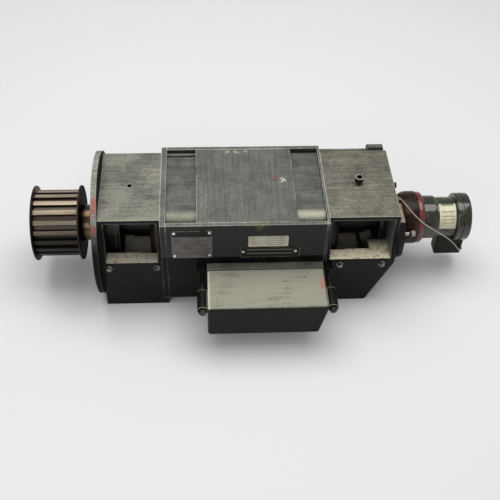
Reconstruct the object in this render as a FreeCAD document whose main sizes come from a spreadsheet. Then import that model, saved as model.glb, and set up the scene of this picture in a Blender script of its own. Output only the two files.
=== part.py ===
import FreeCAD, Part
import math
import os
import re

import Sketcher

# Three-phase foot and flange motor with a toothed belt pulley and a shaft encoder.
# Every sub-part is drawn about the shaft axis as its own X axis, drive end towards -X,
# and is lifted by its Placement so that the feet stand on Z = 0.

Vector = FreeCAD.Vector

doc = FreeCAD.newDocument("ThreePhaseMotor")
sheet = doc.addObject("Spreadsheet::Sheet", "Sizes")

SIZES = (
    ("axis_height", 132, "shaft axis above the foot plane"),
    # Stator frame between the two housings
    ("frame_length", 336, "over both end frames"),
    ("frame_width", 235, "over the side plates"),
    ("frame_top", 104, "top plate above the axis"),
    ("frame_bottom", 113, "bottom plate below the axis"),
    ("de_rim", 11, "thickness of the drive-side end frame"),
    ("nde_rim", 5, "thickness of the rear end frame"),
    ("side_plate", 8.5, "thickness"),
    ("top_plate", 6, "thickness"),
    ("bottom_plate", 4, "thickness"),
    ("de_band", 61, "open band between top plate and drive-side end frame"),
    ("nde_band", 58, "open band between top plate and rear end frame"),
    ("core_corner", 45, "corner radius of the laminations"),
    ("coil_room_radius", 90, "opening for the end turns"),
    ("tie_radius", 5, "tie rod"),
    ("tie_inset", 6, "tie rod axis from the corner of the laminations"),
    ("pin_clearance", 0.15, "radial clearance of rods and screws in their holes"),
    # Windings and rotor
    ("bore_radius", 65, "stator bore"),
    ("slot_count", 36, "stator slots"),
    ("slot_width", 6, "stator slot"),
    ("slot_depth", 18, "stator slot"),
    ("slot_liner", 0.3, "insulation round a coil side"),
    ("end_turn_length", 34, "coil heads beyond the core"),
    ("end_turn_round", 8, "bevel of the coil heads"),
    ("air_gap", 0.6, "radial gap between stator and rotor"),
    ("bar_count", 28, "rotor bars"),
    ("bar_width", 5, "rotor bar"),
    ("bar_depth", 16, "rotor bar"),
    ("bar_bridge", 2.4, "iron outside each rotor bar"),
    ("ring_length", 14, "short-circuit ring beyond the core"),
    # Drive-end housing and flange
    ("de_housing_length", 122, "between stator frame and flange"),
    ("hood_width", 200, "upper part of both housings"),
    ("hood_flare", 46, "height above the axis where the walls start to widen"),
    ("foot_inset", 0.5, "lower part of both housings inside the side plates"),
    ("sill_drop", 1, "window sill below the axis"),
    ("roof", 10, "thickness over the windows"),
    ("end_wall", 10, "housing wall on the bearing side"),
    ("inner_wall", 8, "housing wall on the stator side"),
    ("chamber_width", 176, "air chamber between the sills"),
    ("chamber_drop", 96, "floor of the air chamber below the axis"),
    ("foot_toe", 10, "foot under the stator frame"),
    ("toe_gap", 1, "foot below the stator frame"),
    ("foot_pitch", 410, "foot holes along the shaft"),
    ("foot_gauge", 216, "foot holes across the shaft"),
    ("foot_hole", 5.1, "radius of the tapped foot holes"),
    ("foot_hole_depth", 26, "tapped foot holes"),
    ("eye_hole", 5.1, "radius of the tapped lifting holes"),
    ("de_eye_inset", 59, "drive-side lifting hole from the flange"),
    ("nde_eye_inset", 73, "rear lifting hole from the end plate"),
    ("flange_radius", 150, "mounting flange"),
    ("flange_thickness", 11, "mounting flange"),
    ("flange_lift", 0.5, "cut lower edge of the flange above the foot plane"),
    ("flange_pcd", 265, "pitch circle of the tapped mounting holes"),
    ("flange_hole", 5.1, "radius of the tapped mounting holes"),
    ("spigot_radius", 115, "centring spigot"),
    ("spigot_height", 4, "centring spigot"),
    ("de_hub_radius", 70, "bearing hub inside the drive-end housing"),
    ("de_hub_length", 28, "bearing hub behind the flange"),
    ("de_lip", 13, "wall in front of the drive-end bearing"),
    ("de_lip_bore", 38, "radius of the shaft opening in that wall"),
    ("flange_bolt_circle", 80, "radius of the bolts that hold flange and housing"),
    ("bolt_shank", 4, "radius of the housing bolts"),
    ("bolt_head", 6.5, "radius of the housing bolt heads"),
    ("bolt_head_height", 8, "housing bolts"),
    ("bolt_grip", 6, "bolt length in the housing wall"),
    # Rear housing and end plate
    ("nde_housing_length", 144, "between stator frame and end plate"),
    ("slope_start", 14, "upper end of the slanted rear face below the axis"),
    ("slope_run", 48, "how far the rear face slants towards the foot"),
    ("barrel_radius", 78, "bearing barrel standing out of the slanted face"),
    ("barrel_length", 60, "bearing barrel"),
    ("nde_chamber_end", 50, "air chamber ends this far before the end plate"),
    ("end_plate_thickness", 14, "rear end plate"),
    ("end_plate_top", 76, "above the axis"),
    ("end_plate_bottom", 68, "below the axis"),
    ("end_plate_foot", 120, "width of the lower edge"),
    ("end_plate_waist", 2, "height of the widest place above the axis"),
    ("nde_hub_radius", 56, "bearing hub inside the rear housing"),
    ("nde_hub_length", 17, "bearing hub before the end plate"),
    ("nde_lip", 4, "wall behind the rear bearing"),
    ("nde_lip_bore", 30, "radius of the shaft opening in that wall"),
    ("plate_bolt_circle", 69, "radius of the bolts that hold end plate and housing"),
    # Bearings
    ("de_seat_radius", 55, "outer ring of the roller bearing"),
    ("de_bearing_width", 27, "roller bearing"),
    ("de_inner_race", 32.5, "radius of the inner raceway"),
    ("roller_radius", 8, "bearing roller"),
    ("roller_length", 16, "bearing roller"),
    ("roller_count", 12, "bearing rollers"),
    ("roller_clearance", 0.04, "rollers to each raceway"),
    ("race_lip", 3, "height of the outer ring's lips"),
    ("cage_ring", 2.4, "thickness of the cage rings"),
    ("cage_height", 3.6, "cage ring half height"),
    ("nde_seat_radius", 50, "outer ring of the ball bearing"),
    ("nde_bearing_width", 25, "ball bearing"),
    ("nde_race_inner", 29.5, "outside radius of the inner ring"),
    ("nde_race_outer", 42, "inside radius of the outer ring"),
    ("seal_thickness", 2, "bearing seal"),
    ("seal_clearance", 0.1, "bearing seal to the inner ring"),
    ("cap_thickness", 8, "inner bearing caps"),
    ("cap_clearance", 4, "inner bearing caps to the shaft"),
    # Shaft
    ("extension_length", 110, "shaft end in front of the flange"),
    ("extension_radius", 21, "shaft end"),
    ("seal_seat", 24, "shaft radius under the shaft seal"),
    ("de_journal", 25, "shaft radius in the roller bearing"),
    ("de_shoulder", 29, "shaft radius behind the roller bearing"),
    ("shaft_body", 32, "shaft radius between bearings and core"),
    ("core_seat", 34, "shaft radius in the rotor core"),
    ("nde_shoulder", 27, "shaft radius before the ball bearing"),
    ("nde_journal", 22.5, "shaft radius in the ball bearing"),
    ("shoulder_length", 36, "shaft steps beside the bearings"),
    ("stub_radius", 11, "shaft stub for the encoder"),
    ("stub_length", 22, "shaft stub for the encoder"),
    ("key_width", 12, "parallel key"),
    ("key_height", 8, "parallel key"),
    ("key_length", 70, "parallel key"),
    ("key_depth", 5, "keyway in the shaft"),
    # Toothed belt pulley
    ("tooth_count", 20, "belt pulley"),
    ("belt_pitch", 22.225, "extra heavy inch pitch"),
    ("pitch_line", 1.4, "pitch circle outside the tooth tips"),
    ("groove_depth", 7.14, "tooth groove"),
    ("groove_floor", 7.59, "width of the groove floor"),
    ("groove_mouth", 12.8, "width of the groove mouth"),
    ("pulley_face", 88, "toothed width"),
    ("pulley_gap", 39, "flange to toothed width"),
    ("pulley_hub", 38, "radius of the hub on the motor side"),
    ("pulley_hub_length", 22, "hub on the motor side"),
    ("rim_radius", 78.5, "belt guide rings"),
    ("rim_thickness", 3, "belt guide rings"),
    ("rim_overlap", 30, "guide rings reach below the tooth tips"),
    ("rim_flare", 1.5, "guide rings lean outwards"),
    ("washer_radius", 30, "clamp washer on the shaft end"),
    ("washer_thickness", 6, "clamp washer on the shaft end"),
    ("recess_clearance", 2, "clamp washer in the pulley"),
    ("end_bolt_radius", 8, "shaft end bolt"),
    ("end_bolt_length", 36, "shaft end bolt in the shaft"),
    ("end_bolt_head", 13.8, "corner radius of the hexagon"),
    ("end_bolt_head_height", 9, "shaft end bolt"),
    # Terminal box
    ("box_left", 77, "left side before the middle of the frame"),
    ("box_right", 162, "right side behind the middle of the frame"),
    ("box_top", 6, "top below the axis"),
    ("box_bottom", 92, "bottom below the axis"),
    ("box_cut_drop", 28, "start of the slanted right side below the axis"),
    ("box_cut_run", 13, "slanted right side"),
    ("box_round", 6, "rounded edges of the cover"),
    ("base_depth", 19, "base of the box"),
    ("gasket_depth", 1.5, "gasket between base and cover"),
    ("cover_depth", 98, "cover of the box"),
    ("box_wall", 6, "walls of base and cover"),
    ("ear_radius", 11, "bolt ears"),
    ("ear_offset", 9.5, "bolt ears outside the box"),
    ("ear_drop", 18, "bolt ears below the axis"),
    ("ear_length", 46, "bolt ears on the cover"),
    ("ear_setback", 5, "bolt ears behind the front of the cover"),
    ("cover_bolt", 4, "radius of the cover bolts"),
    ("cover_bolt_head", 7.5, "corner radius of the hexagon"),
    ("cover_bolt_head_height", 5.5, "cover bolts"),
    ("cover_bolt_washer", 8.8, "radius of the washers"),
    ("cover_bolt_washer_height", 1.6, "cover bolts"),
    ("board_length", 96, "terminal board"),
    ("board_height", 44, "terminal board"),
    ("board_thickness", 10, "terminal board"),
    ("stud_radius", 3, "terminal studs"),
    ("stud_pitch", 30, "terminal studs along the board"),
    ("stud_row_distance", 20, "terminal studs across the board"),
    ("stud_length", 22, "terminal studs in front of the board"),
    ("nut_radius", 5.7, "corner radius of the terminal nuts"),
    ("nut_height", 5, "terminal nuts"),
    ("lead_hole", 24, "radius of the lead opening in side plate and base"),
    ("lead_radius", 3, "winding leads"),
    ("lead_circle", 14, "winding leads about the lead opening"),
    ("lead_count", 6, "winding leads"),
    ("entry_radius", 16, "cable entries in the cover"),
    ("entry_pitch", 90, "between the cable entries"),
    ("plug_head", 20, "corner radius of the entry plugs"),
    ("plug_head_height", 6, "entry plugs"),
    # Pieces on top of the housings
    ("eye_screw_head", 9, "radius of the screw in the rear lifting hole"),
    ("eye_screw_head_height", 13, "that screw"),
    ("eye_screw_socket", 6.5, "corner radius of its hexagon socket"),
    ("eye_screw_socket_depth", 7, "its hexagon socket"),
    ("eye_washer", 11, "radius of its washer"),
    ("eye_washer_height", 2.5, "its washer"),
    ("lug_length", 36, "lug on the back edge of the rear hood"),
    ("lug_thickness", 14, "that lug"),
    ("lug_rise", 9, "that lug above the hood"),
    ("lug_drop", 9, "that lug below the top of the hood"),
    ("lug_inset", 6, "that lug before the end plate"),
    # Encoder
    ("neck_radius", 50.5, "encoder bell on the end plate"),
    ("neck_length", 4, "encoder bell on the end plate"),
    ("bell_radius", 56.5, "encoder bell"),
    ("bell_length", 45, "encoder bell with its neck"),
    ("bell_bevel", 4, "edges of the encoder bell"),
    ("bell_wall", 8, "wall of the encoder bell"),
    ("bell_front", 6, "front wall of the encoder bell"),
    ("bell_bore", 20, "radius of the opening in its front wall"),
    ("bell_bolt_circle", 63, "radius of the encoder bolts"),
    ("bell_bolt_turn", 12, "degrees of the first bolt above the horizontal"),
    ("lug_radius", 8, "bolt lugs on the bell"),
    ("bell_lug_start", 17, "bolt lugs behind the end plate"),
    ("bell_lug_length", 10, "bolt lugs"),
    ("bell_bolt_grip", 10, "encoder bolts in the end plate"),
    ("ring_radius", 55, "clamp ring of the encoder"),
    ("ring_depth", 14, "clamp ring of the encoder"),
    ("ring_bore", 30, "radius inside the clamp ring"),
    ("encoder_radius", 42.8, "encoder body"),
    ("encoder_length", 64, "encoder body"),
    ("encoder_collar", 46.5, "radius of the collar behind the clamp ring"),
    ("encoder_collar_length", 11, "that collar"),
    ("encoder_bore", 14, "radius of the opening round the encoder shaft"),
    ("encoder_bore_depth", 16, "that opening"),
    ("encoder_shaft_radius", 6, "encoder shaft"),
    ("encoder_shaft_clearance", 0.05, "encoder shaft in its bearing"),
    ("encoder_shaft_length", 46, "encoder shaft in front of its bearing"),
    ("encoder_bearing", 12, "encoder shaft in its bearing"),
    ("cap_radius", 51.3, "rear cap of the encoder"),
    ("cap_length", 37, "rear cap of the encoder"),
    ("cap_bevel", 5, "edge of the rear cap"),
    ("cap_groove", 2, "groove round the rear cap"),
    ("coupling_radius", 17, "encoder coupling"),
    ("coupling_length", 34, "encoder coupling"),
    ("coupling_groove", 3, "half width and depth of the turned groove of the coupling"),
    ("connector_length", 60, "plug housing under the encoder"),
    ("connector_width", 46, "plug housing"),
    ("connector_drop", 95, "lower face below the axis"),
    ("connector_start", 44, "plug housing behind the front of the encoder body"),
    ("connector_seat", 0.2, "plug housing to the encoder"),
    ("rib_count", 5, "grip ribs on the plug housing"),
    ("rib_pitch", 7, "grip ribs"),
    ("rib_depth", 1.5, "grip ribs"),
    ("rib_length", 26, "grip ribs"),
    ("wire_radius", 1.4, "earth lead of the encoder"),
)

ALIASES = {alias for alias, value, meaning in SIZES}

for row, (alias, value, meaning) in enumerate(SIZES, start=1):
    sheet.set(f"A{row}", meaning)
    sheet.set(f"B{row}", str(value))
    sheet.setAlias(f"B{row}", alias)
doc.recompute()

PARTS = []


# Expressions and sketches


def bound(text):
    """The expression with every size name pointing at its cell."""
    def cell(match):
        word = match.group()
        return f"Sizes.{word}" if word in ALIASES else word
    return re.sub(r"[a-z][a-z0-9_]*", cell, text)


def number(text):
    """The present value of an expression, in millimetres."""
    return float(sheet.evalExpression(bound(text)))


def new_body(label):
    body = doc.addObject("PartDesign::Body", label)
    body.Label = label
    body.AllowCompound = True
    body.setExpression("Placement.Base.z", bound("axis_height"))
    PARTS.append(body)
    return body


def origin(body, role):
    return next(item for item in body.Origin.OriginFeatures if item.Role == role)


def new_sketch(body, plane, offset="0"):
    """A sketch on one of the body's own planes. Offsets run along +X, -Y or +Z."""
    sketch = body.newObject("Sketcher::SketchObject", "Sketch")
    sketch.AttachmentSupport = [(origin(body, plane), "")]
    sketch.MapMode = "FlatFace"
    sketch.setExpression("AttachmentOffset.Base.z", bound(offset))
    return sketch


def fix(sketch, kind, geometry, text):
    """One driving dimension, tied to an expression."""
    index = sketch.addConstraint(Sketcher.Constraint(kind, *geometry, number(text)))
    name = f"size_{index}"
    sketch.renameConstraint(index, name)
    sketch.setExpression(f"Constraints.{name}", bound(text))


def fix_point(sketch, geometry, place, across, up):
    fix(sketch, "DistanceX", (-1, 1, geometry, place), across)
    fix(sketch, "DistanceY", (-1, 1, geometry, place), up)


def polygon(sketch, corners):
    first = sketch.GeometryCount
    points = [Vector(number(across), number(up), 0) for across, up in corners]
    for index, start in enumerate(points):
        end = points[(index + 1) % len(points)]
        sketch.addGeometry(Part.LineSegment(start, end), False)
    for index, (across, up) in enumerate(corners):
        following = first + (index + 1) % len(corners)
        sketch.addConstraint(Sketcher.Constraint("Coincident", first + index, 2, following, 1))
        fix_point(sketch, first + index, 1, across, up)
    return sketch


def rectangle(sketch, left, right, low, high):
    return polygon(sketch, [(left, low), (right, low), (right, high), (left, high)])


def mirrored(half):
    """A closed outline from the right-hand half of it, listed from top to bottom."""
    return half + [(f"-({across})", up) for across, up in reversed(half)]


def circle(sketch, across, up, radius):
    centre = Vector(number(across), number(up), 0)
    index = sketch.addGeometry(Part.Circle(centre, Vector(0, 0, 1), number(radius)), False)
    fix_point(sketch, index, 3, across, up)
    fix(sketch, "Radius", (index,), radius)
    return sketch


def hexagon(sketch, across, up, radius):
    turns = [(f"cos({60 * step} deg)", f"sin({60 * step} deg)") for step in range(6)]
    corners = [(f"{across} + ({radius}) * {c}", f"{up} + ({radius}) * {s}") for c, s in turns]
    return polygon(sketch, corners)


# Features


def pad(body, sketch, length):
    feature = body.newObject("PartDesign::Pad", "Pad")
    feature.Profile = sketch
    feature.setExpression("Length", bound(length))
    return feature


def pocket(body, sketch, length=None, forwards=True):
    """A cut along the sketch's normal, or right through both ways with no length."""
    feature = body.newObject("PartDesign::Pocket", "Pocket")
    feature.Profile = sketch
    if length is None:
        feature.Type = "ThroughAll"
        feature.SideType = "Symmetric"
    else:
        feature.Reversed = forwards
        feature.setExpression("Length", bound(length))
    return feature


def revolve(body, sketch):
    feature = body.newObject("PartDesign::Revolution", "Revolution")
    feature.Profile = sketch
    feature.ReferenceAxis = (sketch, ["H_Axis"])
    return feature


def polar(body, features, count):
    feature = body.newObject("PartDesign::PolarPattern", "PolarPattern")
    feature.Originals = features
    feature.Axis = (origin(body, "X_Axis"), [""])
    feature.Angle = 360
    feature.setExpression("Occurrences", bound(count))
    body.Tip = feature
    return feature


def fillet(body, wanted, radius):
    """Rounds the edges of the body's last feature that the test picks."""
    doc.recompute()
    base = body.Tip
    names = [f"Edge{i}" for i, edge in enumerate(base.Shape.Edges, start=1) if wanted(edge)]
    feature = body.newObject("PartDesign::Fillet", "Fillet")
    feature.Base = (base, names)
    feature.setExpression("Radius", bound(radius))
    return feature


def turned(label, profile):
    """A ring or disc turned about the shaft axis from its (place, radius) outline."""
    body = new_body(label)
    revolve(body, polygon(new_sketch(body, "XZ_Plane"), profile))
    return body


def tube(start, length, inner, outer):
    end = f"{start} + {length}"
    return [(start, inner), (end, inner), (end, outer), (start, outer)]


def straight_edges_along(direction):
    def test(edge):
        if edge.Curve.TypeId != "Part::GeomLine":
            return False
        return abs(edge.tangentAt(edge.FirstParameter).dot(direction)) > 0.999
    return test


# Places along the shaft axis

DE_FACE = "(-frame_length / 2)"
NDE_FACE = "(frame_length / 2)"
CORE_DE = f"({DE_FACE} + de_rim)"
CORE_NDE = f"({NDE_FACE} - nde_rim)"
CORE_LENGTH = "(frame_length - de_rim - nde_rim)"
FLANGE_BACK = f"({DE_FACE} - de_housing_length)"
FLANGE_FRONT = f"({FLANGE_BACK} - flange_thickness)"
SPIGOT_FACE = f"({FLANGE_FRONT} - spigot_height)"
DE_HUB_END = f"({FLANGE_BACK} + de_hub_length)"
DE_BEARING = f"({SPIGOT_FACE} + de_lip)"
DE_BEARING_END = f"({DE_BEARING} + de_bearing_width)"
DE_BEARING_MIDDLE = f"({DE_BEARING} + de_bearing_width / 2)"
PLATE_BACK = f"({NDE_FACE} + nde_housing_length)"
PLATE_FRONT = f"({PLATE_BACK} + end_plate_thickness)"
NDE_HUB_START = f"({PLATE_BACK} - nde_hub_length)"
NDE_BEARING_END = f"({PLATE_FRONT} - nde_lip)"
NDE_BEARING = f"({NDE_BEARING_END} - nde_bearing_width)"
SHAFT_END = f"({FLANGE_FRONT} - extension_length)"
PULLEY_INNER = f"({FLANGE_FRONT} - pulley_gap)"
PULLEY_OUTER = f"({PULLEY_INNER} - pulley_face)"
STUB_END = f"({PLATE_FRONT} + stub_length)"
BELL_END = f"({PLATE_FRONT} + bell_length)"
BODY_START = f"({BELL_END} + ring_depth)"
BODY_END = f"({BODY_START} + encoder_length)"

CORE_HALF = "(frame_width / 2 - side_plate)"
FOOT_HALF = "(frame_width / 2 - foot_inset)"
CORE_TOP = "(frame_top - top_plate)"
CORE_BOTTOM = "(frame_bottom - bottom_plate)"
TIE_SIDE = f"({CORE_HALF} - tie_inset)"
TIE_TOP = f"({CORE_TOP} - tie_inset)"
TIE_LOW = f"({CORE_BOTTOM} - tie_inset)"
ROTOR_RADIUS = "(bore_radius - air_gap)"
BAR_TOP = f"({ROTOR_RADIUS} - bar_bridge)"
BAR_FOOT = f"({BAR_TOP} - bar_depth)"
TIP_RADIUS = "(tooth_count * belt_pitch / (2 * pi) - pitch_line)"

X_WAY = Vector(1, 0, 0)
Y_WAY = Vector(0, 1, 0)
QUARTERS = [(1, 1), (-1, 1), (-1, -1), (1, -1)]


# Stator frame


def stator_core():
    body = new_body("stator_core")
    outline = new_sketch(body, "YZ_Plane", CORE_DE)
    rectangle(outline, f"-{CORE_HALF}", CORE_HALF, f"-{CORE_BOTTOM}", CORE_TOP)
    pad(body, outline, CORE_LENGTH)
    fillet(body, straight_edges_along(X_WAY), "core_corner")
    pocket(body, circle(new_sketch(body, "YZ_Plane"), "0", "0", "bore_radius"))
    slot = new_sketch(body, "YZ_Plane")
    rectangle(slot, "-slot_width / 2", "slot_width / 2", "bore_radius / 2", "bore_radius + slot_depth")
    cut = pocket(body, slot, CORE_LENGTH)
    slot.setExpression("AttachmentOffset.Base.z", bound(CORE_DE))
    polar(body, [cut], "slot_count")


def stator_winding():
    body = new_body("stator_winding")
    inner = "(bore_radius + 2 * slot_liner)"
    outer = "(bore_radius + slot_depth)"
    for face, way in ((CORE_DE, "-1"), (CORE_NDE, "1")):
        far = f"({face} + {way} * end_turn_length)"
        near = f"({far} - {way} * end_turn_round)"
        profile = [(face, inner), (face, outer), (near, outer)]
        profile += [(far, f"{outer} - end_turn_round"), (far, inner)]
        revolve(body, polygon(new_sketch(body, "XZ_Plane"), profile))
    side = new_sketch(body, "YZ_Plane", CORE_DE)
    half = "slot_width / 2 - slot_liner"
    rectangle(side, f"-({half})", half, f"{inner} + slot_liner", f"{outer} - slot_liner")
    coil = pad(body, side, CORE_LENGTH)
    polar(body, [coil], "slot_count")


def end_frame(label, start, thickness):
    body = new_body(label)
    plate = new_sketch(body, "YZ_Plane", start)
    rectangle(plate, "-frame_width / 2", "frame_width / 2", "-frame_bottom", "frame_top")
    circle(plate, "0", "0", "coil_room_radius")
    for side, up in QUARTERS:
        height = TIE_TOP if up > 0 else f"-{TIE_LOW}"
        circle(plate, f"{side} * {TIE_SIDE}", height, "tie_radius + pin_clearance")
    pad(body, plate, thickness)


def tie_rods():
    body = new_body("tie_rods")
    rods = new_sketch(body, "YZ_Plane", DE_FACE)
    for side, up in QUARTERS:
        height = TIE_TOP if up > 0 else f"-{TIE_LOW}"
        circle(rods, f"{side} * {TIE_SIDE}", height, "tie_radius")
    pad(body, rods, "frame_length")


def side_plate(label, offset, with_lead_hole):
    body = new_body(label)
    plate = new_sketch(body, "XZ_Plane", offset)
    rectangle(plate, CORE_DE, CORE_NDE, "-frame_bottom", "frame_top")
    if with_lead_hole:
        circle(plate, BOX_MIDDLE, BOX_CENTRE, "lead_hole")
    pad(body, plate, "side_plate")


def cover_plate(label, offset, start, end, thickness):
    body = new_body(label)
    plate = new_sketch(body, "XY_Plane", offset)
    rectangle(plate, start, end, f"-{CORE_HALF}", CORE_HALF)
    pad(body, plate, thickness)


def stator_frame():
    stator_core()
    stator_winding()
    end_frame("de_end_frame", DE_FACE, "de_rim")
    end_frame("nde_end_frame", CORE_NDE, "nde_rim")
    tie_rods()
    side_plate("front_side_plate", CORE_HALF, True)
    side_plate("rear_side_plate", "-frame_width / 2", False)
    top_start = f"{CORE_DE} + de_band"
    top_end = f"{CORE_NDE} - nde_band"
    cover_plate("top_plate", CORE_TOP, top_start, top_end, "top_plate")
    cover_plate("bottom_plate", "-frame_bottom", CORE_DE, CORE_NDE, "bottom_plate")


# Housings with open side windows


def housing_block(body, start, length, toe_start):
    """The outline with its widening walls, and the foot's toe under the stator frame."""
    outline = new_sketch(body, "YZ_Plane", start)
    half = [("hood_width / 2", "frame_top"), ("hood_width / 2", "hood_flare")]
    half += [(FOOT_HALF, "-sill_drop"), (FOOT_HALF, "-axis_height")]
    polygon(outline, mirrored(half))
    pad(body, outline, length)
    toe = new_sketch(body, "YZ_Plane", toe_start)
    rectangle(toe, f"-{FOOT_HALF}", FOOT_HALF, "-axis_height", "-frame_bottom - toe_gap")
    pad(body, toe, "foot_toe")


def housing_openings(body, start, end, chamber_start, chamber_end, coil_start):
    """Windows right through both sides, the air chamber and the room for the coil heads."""
    window = new_sketch(body, "XZ_Plane")
    rectangle(window, start, end, "-sill_drop", "frame_top - roof")
    pocket(body, window)
    chamber = new_sketch(body, "YZ_Plane", chamber_start)
    rectangle(chamber, "-chamber_width / 2", "chamber_width / 2", "-chamber_drop", "0")
    pocket(body, chamber, f"{chamber_end} - {chamber_start}")
    coils = circle(new_sketch(body, "YZ_Plane", coil_start), "0", "0", "coil_room_radius")
    pocket(body, coils, "inner_wall + end_turn_length")


def foot_holes(body, place):
    holes = new_sketch(body, "XY_Plane", "-axis_height")
    for side in (1, -1):
        circle(holes, place, f"{side} * foot_gauge / 2", "foot_hole")
    pocket(body, holes, "foot_hole_depth")


def bolt_holes(body, start, length, circle_radius, hole_radius):
    """Four holes on the diagonals about the shaft axis."""
    holes = new_sketch(body, "YZ_Plane", start)
    reach = f"{circle_radius} * cos(45 deg)"
    for side, up in QUARTERS:
        circle(holes, f"{side} * {reach}", f"{up} * {reach}", hole_radius)
    pocket(body, holes, length)


def de_housing():
    body = new_body("de_housing")
    housing_block(body, FLANGE_BACK, "de_housing_length", DE_FACE)
    window_start = f"({FLANGE_BACK} + end_wall)"
    window_end = f"({DE_FACE} - inner_wall)"
    coil_start = f"({DE_FACE} - inner_wall - end_turn_length)"
    housing_openings(body, window_start, window_end, window_start, window_end, coil_start)
    hub = circle(new_sketch(body, "YZ_Plane", FLANGE_BACK), "0", "0", "de_hub_radius + pin_clearance")
    pocket(body, hub, "end_wall")
    bolt_holes(body, FLANGE_BACK, "bolt_grip", "flange_bolt_circle", "bolt_shank + pin_clearance")
    foot_holes(body, "-foot_pitch / 2")
    eye = new_sketch(body, "XY_Plane", "frame_top - roof")
    circle(eye, f"{FLANGE_BACK} + de_eye_inset", "0", "eye_hole")
    pocket(body, eye, "roof")


def nde_housing():
    body = new_body("nde_housing")
    housing_block(body, NDE_FACE, "nde_housing_length", f"{NDE_FACE} - foot_toe")
    slope = new_sketch(body, "XZ_Plane")
    foot_end = f"{PLATE_BACK} - slope_run"
    below = "-axis_height - roof"
    beyond = f"{PLATE_BACK} + end_wall"
    corners = [(PLATE_BACK, "-slope_start"), (beyond, "-slope_start"), (beyond, below)]
    polygon(slope, corners + [(foot_end, below), (foot_end, "-axis_height")])
    pocket(body, slope)
    barrel_start = f"({PLATE_BACK} - barrel_length)"
    barrel = circle(new_sketch(body, "YZ_Plane", barrel_start), "0", "0", "barrel_radius")
    pad(body, barrel, "barrel_length")
    window_start = f"({NDE_FACE} + inner_wall)"
    window_end = f"({PLATE_BACK} - end_wall)"
    chamber_end = f"({PLATE_BACK} - nde_chamber_end)"
    housing_openings(body, window_start, window_end, window_start, chamber_end, NDE_FACE)
    hub = circle(new_sketch(body, "YZ_Plane", barrel_start), "0", "0", "nde_hub_radius + pin_clearance")
    pocket(body, hub, "barrel_length")
    grip_start = f"{PLATE_BACK} - bolt_grip"
    bolt_holes(body, grip_start, "bolt_grip", "plate_bolt_circle", "bolt_shank + pin_clearance")
    foot_holes(body, "foot_pitch / 2")
    eye = new_sketch(body, "XY_Plane", "frame_top - roof")
    circle(eye, f"{PLATE_BACK} - nde_eye_inset", "0", "eye_hole")
    pocket(body, eye, "roof")


def de_flange():
    profile = [(SPIGOT_FACE, "de_lip_bore"), (SPIGOT_FACE, "spigot_radius")]
    profile += [(FLANGE_FRONT, "spigot_radius"), (FLANGE_FRONT, "flange_radius")]
    profile += [(FLANGE_BACK, "flange_radius"), (FLANGE_BACK, "de_hub_radius")]
    profile += [(DE_HUB_END, "de_hub_radius"), (DE_HUB_END, "de_seat_radius")]
    profile += [(DE_BEARING, "de_seat_radius"), (DE_BEARING, "de_lip_bore")]
    body = turned("de_flange", profile)
    lower_edge = new_sketch(body, "YZ_Plane")
    below = "-flange_radius - spigot_height"
    rectangle(lower_edge, "-flange_radius", "flange_radius", below, "-axis_height + flange_lift")
    pocket(body, lower_edge)
    bolt_holes(body, SPIGOT_FACE, "flange_thickness + spigot_height", "flange_pcd / 2", "flange_hole")
    bolts = "bolt_shank + pin_clearance"
    bolt_holes(body, SPIGOT_FACE, "flange_thickness + spigot_height", "flange_bolt_circle", bolts)


def socket_bolts(label, head_start, head_end, shank_start, shank_end, circle_radius):
    """Four housing bolts on the diagonals; heads and shanks are padded as one sketch each."""
    body = new_body(label)
    reach = f"{circle_radius} * cos(45 deg)"
    spans = ((head_start, head_end, "bolt_head"), (shank_start, shank_end, "bolt_shank"))
    for start, end, radius in spans:
        sketch = new_sketch(body, "YZ_Plane", start)
        for side, up in QUARTERS:
            circle(sketch, f"{side} * {reach}", f"{up} * {reach}", radius)
        pad(body, sketch, f"{end} - {start}")


def nde_end_plate():
    body = new_body("nde_end_plate")
    outline = new_sketch(body, "YZ_Plane", PLATE_BACK)
    widest = f"{FOOT_HALF} - end_wall / 2"
    half = [("hood_width / 2 - end_wall", "end_plate_top"), (widest, "hood_flare")]
    half += [(widest, "end_plate_waist")]
    half += [("end_plate_foot / 2", "-end_plate_bottom")]
    polygon(outline, mirrored(half))
    pad(body, outline, "end_plate_thickness")
    hub = circle(new_sketch(body, "YZ_Plane", NDE_HUB_START), "0", "0", "nde_hub_radius")
    pad(body, hub, "nde_hub_length")
    seat = circle(new_sketch(body, "YZ_Plane", NDE_HUB_START), "0", "0", "nde_seat_radius")
    pocket(body, seat, f"{NDE_BEARING_END} - {NDE_HUB_START}")
    pocket(body, circle(new_sketch(body, "YZ_Plane"), "0", "0", "nde_lip_bore"))
    bolts = "bolt_shank + pin_clearance"
    bolt_holes(body, PLATE_BACK, "end_plate_thickness", "plate_bolt_circle", bolts)
    holes = new_sketch(body, "YZ_Plane", f"{PLATE_FRONT} - bell_bolt_grip")
    circle(holes, *BELL_BOLT, bolts)
    cut = pocket(body, holes, "bell_bolt_grip")
    polar(body, [cut], "2")


def housings():
    de_housing()
    de_flange()
    shank_end = f"{FLANGE_BACK} + bolt_grip"
    head_start = f"({SPIGOT_FACE} - bolt_head_height)"
    socket_bolts("de_flange_bolts", head_start, SPIGOT_FACE, SPIGOT_FACE, shank_end,
                 "flange_bolt_circle")
    nde_housing()
    nde_end_plate()
    head_end = f"{PLATE_FRONT} + bolt_head_height"
    shank_start = f"({PLATE_BACK} - bolt_grip)"
    socket_bolts("nde_plate_bolts", PLATE_FRONT, head_end, shank_start, PLATE_FRONT,
                 "plate_bolt_circle")


# Bearings


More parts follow.
